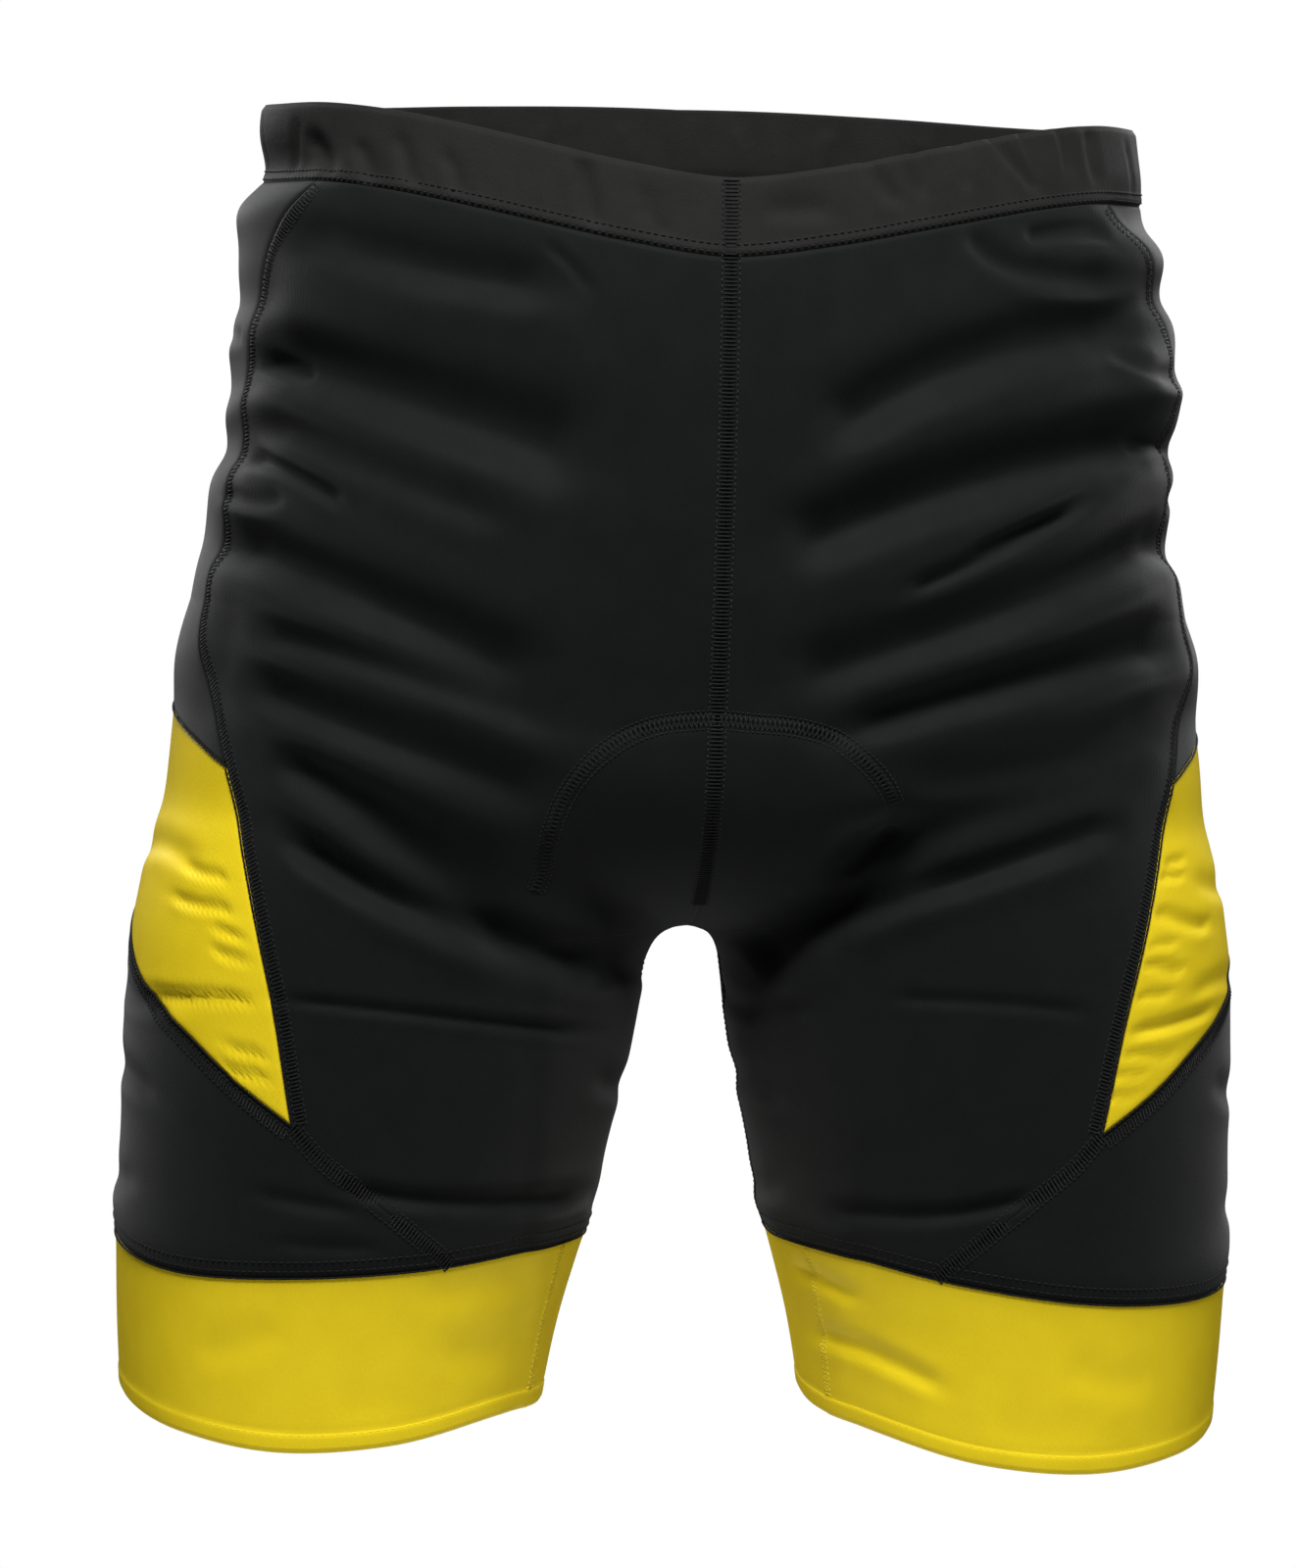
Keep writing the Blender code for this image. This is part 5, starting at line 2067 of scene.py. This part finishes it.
    def pad_arc(self) -> bpy.types.Object:
        """The stitched arc that holds the hidden seat pad.

        Returns:
            The piece.
        """
        form = self.cloth.form
        table = np.array(self.arc) * MILLIMETRE
        steps = run_length(table)
        places = Curves([ArcPoint(s, x, z) for s, (x, z) in zip(steps, table)])
        x, z = places.at(np.linspace(0, steps[-1], self.arc_points))
        threads = self.set("pad_arc_stitches")
        rows = []
        for side in Side:
            own = x * side.value > self.arc_middle
            start = np.stack([np.abs(x[own]), np.zeros(own.sum()), z[own]], axis=-1)
            line = self.line(*form.locate(form.cast(start, np.array([0.0, -1.0, 0.0]))))
            for distance in (-self.arc_half, self.arc_half):
                beside = line.spaced(self.arc_guide).beside(distance)
                rows.append(threads.row(beside, side, self.arc_stitch))
            half = self.arc_half * self.arc_rung_share
            rows.append(threads.rungs(line, side, (-half, half), self.arc_rung))
            rows.append(threads.rungs(line, side, (half, -half), self.arc_rung))
        return threads.build(rows)


@dataclass(frozen=True)
class SoftBox:
    """A large soft light that looks at the shorts."""

    name: str
    place: Point
    size: float
    power: float

    def build(self, target: Vector) -> bpy.types.Object:
        """Builds the light.

        Args:
            target: the point it looks at.

        Returns:
            The light.
        """
        light = bpy.data.lights.new(self.name, "AREA")
        light.shape = "SQUARE"
        light.size = self.size
        light.energy = self.power
        lamp = bpy.data.objects.new(self.name, light)
        lamp.location = self.place
        towards = target - Vector(self.place)
        lamp.rotation_euler = towards.to_track_quat("-Z", "Y").to_euler()
        bpy.context.scene.collection.objects.link(lamp)
        return lamp


@dataclass(frozen=True)
class Studio:
    """A pale floor, a white room, soft light and the camera of the photograph."""

    target: Point = (0.0, 0.0, -0.233)
    azimuth: float = -5.4
    elevation: float = 3.0
    roll: float = 1.3
    distance: float = 1.7
    focal_pixels: float = 4722.0
    frame_pixels: tuple[int, int] = (1323, 1600)
    aim_offset: Pair = (-0.01386, -0.00108)
    floor_height: float = -1.50
    floor_radius: float = 1.6
    lights: tuple[SoftBox, ...] = (
        SoftBox("top_box", (-0.12, -1.17, 1.55), 0.8, 86),
        SoftBox("left_box", (1.9, -0.5, 0.4), 1.1, 6),
        SoftBox("right_box", (-1.9, -0.5, 0.5), 1.1, 2),
        SoftBox("front_box", (0.1, -2.6, -0.4), 1.0, 4),
        SoftBox("back_left_box", (1.2, 1.7, 0.9), 1.1, 30),
        SoftBox("back_right_box", (-1.2, 1.7, 0.9), 1.1, 34),
    )

    def camera(self) -> bpy.types.Object:
        """Builds the camera at the photograph's angle.

        Returns:
            The camera, set as the scene's.
        """
        a, e, r = (math.radians(v) for v in (self.azimuth, self.elevation, self.roll))
        away = Vector((math.sin(a) * math.cos(e), -math.cos(a) * math.cos(e), math.sin(e)))
        level = Vector((0.0, 0.0, 1.0)).cross(away).normalized()
        rise = away.cross(level)
        right = level * math.cos(r) + rise * math.sin(r)
        up = rise * math.cos(r) - level * math.sin(r)
        place = Vector(self.target) + away * self.distance
        aim = Vector(self.target) + right * self.aim_offset[0] + up * self.aim_offset[1]
        back = (place - aim).normalized()
        right = up.cross(back).normalized()
        up = back.cross(right)
        data = bpy.data.cameras.new("photo_camera")
        data.sensor_width = 36.0
        data.lens = self.focal_pixels * data.sensor_width / self.frame_pixels[1]
        camera = bpy.data.objects.new("photo_camera", data)
        turn = Matrix((right, up, back)).transposed().to_4x4()
        camera.matrix_world = Matrix.Translation(place) @ turn
        bpy.context.scene.collection.objects.link(camera)
        bpy.context.scene.camera = camera
        return camera

    def floor(self) -> bpy.types.Object:
        """Builds the pale floor.

        Returns:
            The floor.
        """
        mesh = bpy.data.meshes.new("studio_floor")
        turn = np.linspace(0, 2 * np.pi, 96, endpoint=False)
        rim = np.stack([np.cos(turn), np.sin(turn), np.zeros_like(turn)], -1) * self.floor_radius
        mesh.from_pydata(rim.tolist(), [], [list(range(len(rim)))])
        material = bpy.data.materials.new("pale_floor")
        material.use_nodes = True
        shader = material.node_tree.nodes["Principled BSDF"]
        shader.inputs["Base Color"].default_value = (0.9, 0.9, 0.9, 1)
        shader.inputs["Roughness"].default_value = 0.9
        shader.inputs["Emission Color"].default_value = (1, 1, 1, 1)
        shader.inputs["Emission Strength"].default_value = 0.10
        mesh.materials.append(material)
        floor = bpy.data.objects.new("studio_floor", mesh)
        floor.location.z = self.floor_height
        bpy.context.scene.collection.objects.link(floor)
        return floor

    def room(self) -> None:
        """Makes the white room, which shows but lights nothing, and plain colours."""
        scene = bpy.context.scene
        world = bpy.data.worlds.new("white_room")
        world.use_nodes = True
        background = world.node_tree.nodes["Background"]
        background.inputs["Color"].default_value = (1, 1, 1, 1)
        background.inputs["Strength"].default_value = 1.0
        world.cycles_visibility.diffuse = False
        world.cycles_visibility.glossy = False
        scene.world = world
        scene.view_settings.view_transform = "Standard"

    def build(self) -> None:
        """Builds the camera, the room, the floor and the lights."""
        self.camera()
        self.room()
        self.floor()
        for light in self.lights:
            light.build(Vector(self.target))


def write_size() -> None:
    """Updates the view layer.
    """
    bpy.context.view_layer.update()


def main() -> None:
    """Builds the shorts and the studio."""
    logging.basicConfig(level=logging.INFO, format="%(message)s")
    cloth = Cloth(WornForm(), Cut(), Creases())
    pieces = []
    for side in Side:
        pieces += BodyPanels(cloth, side).build()
        pieces.append(Cuff(cloth, side).build())
    pieces.append(Waistband(cloth).build())
    sewing = Stitching(cloth)
    pieces.append(sewing.middle_seam(Facing.FRONT, "front_seam_stitches"))
    pieces.append(sewing.middle_seam(Facing.BACK, "back_seam_stitches"))
    pieces += [sewing.side_seams(side) for side in Side]
    pieces += [sewing.band_stitches(), sewing.pad_arc()]
    for side in Side:
        pieces.append(sewing.cuff_stitches(side))
        pieces.append(sewing.hem_stitches(side))
        pieces.append(sewing.seam_lines(side))
    for piece in pieces:
        log.info("%s: %d faces", piece.name, len(piece.data.polygons))
    Studio().build()
    write_size()


if __name__ == "__main__":
    main()
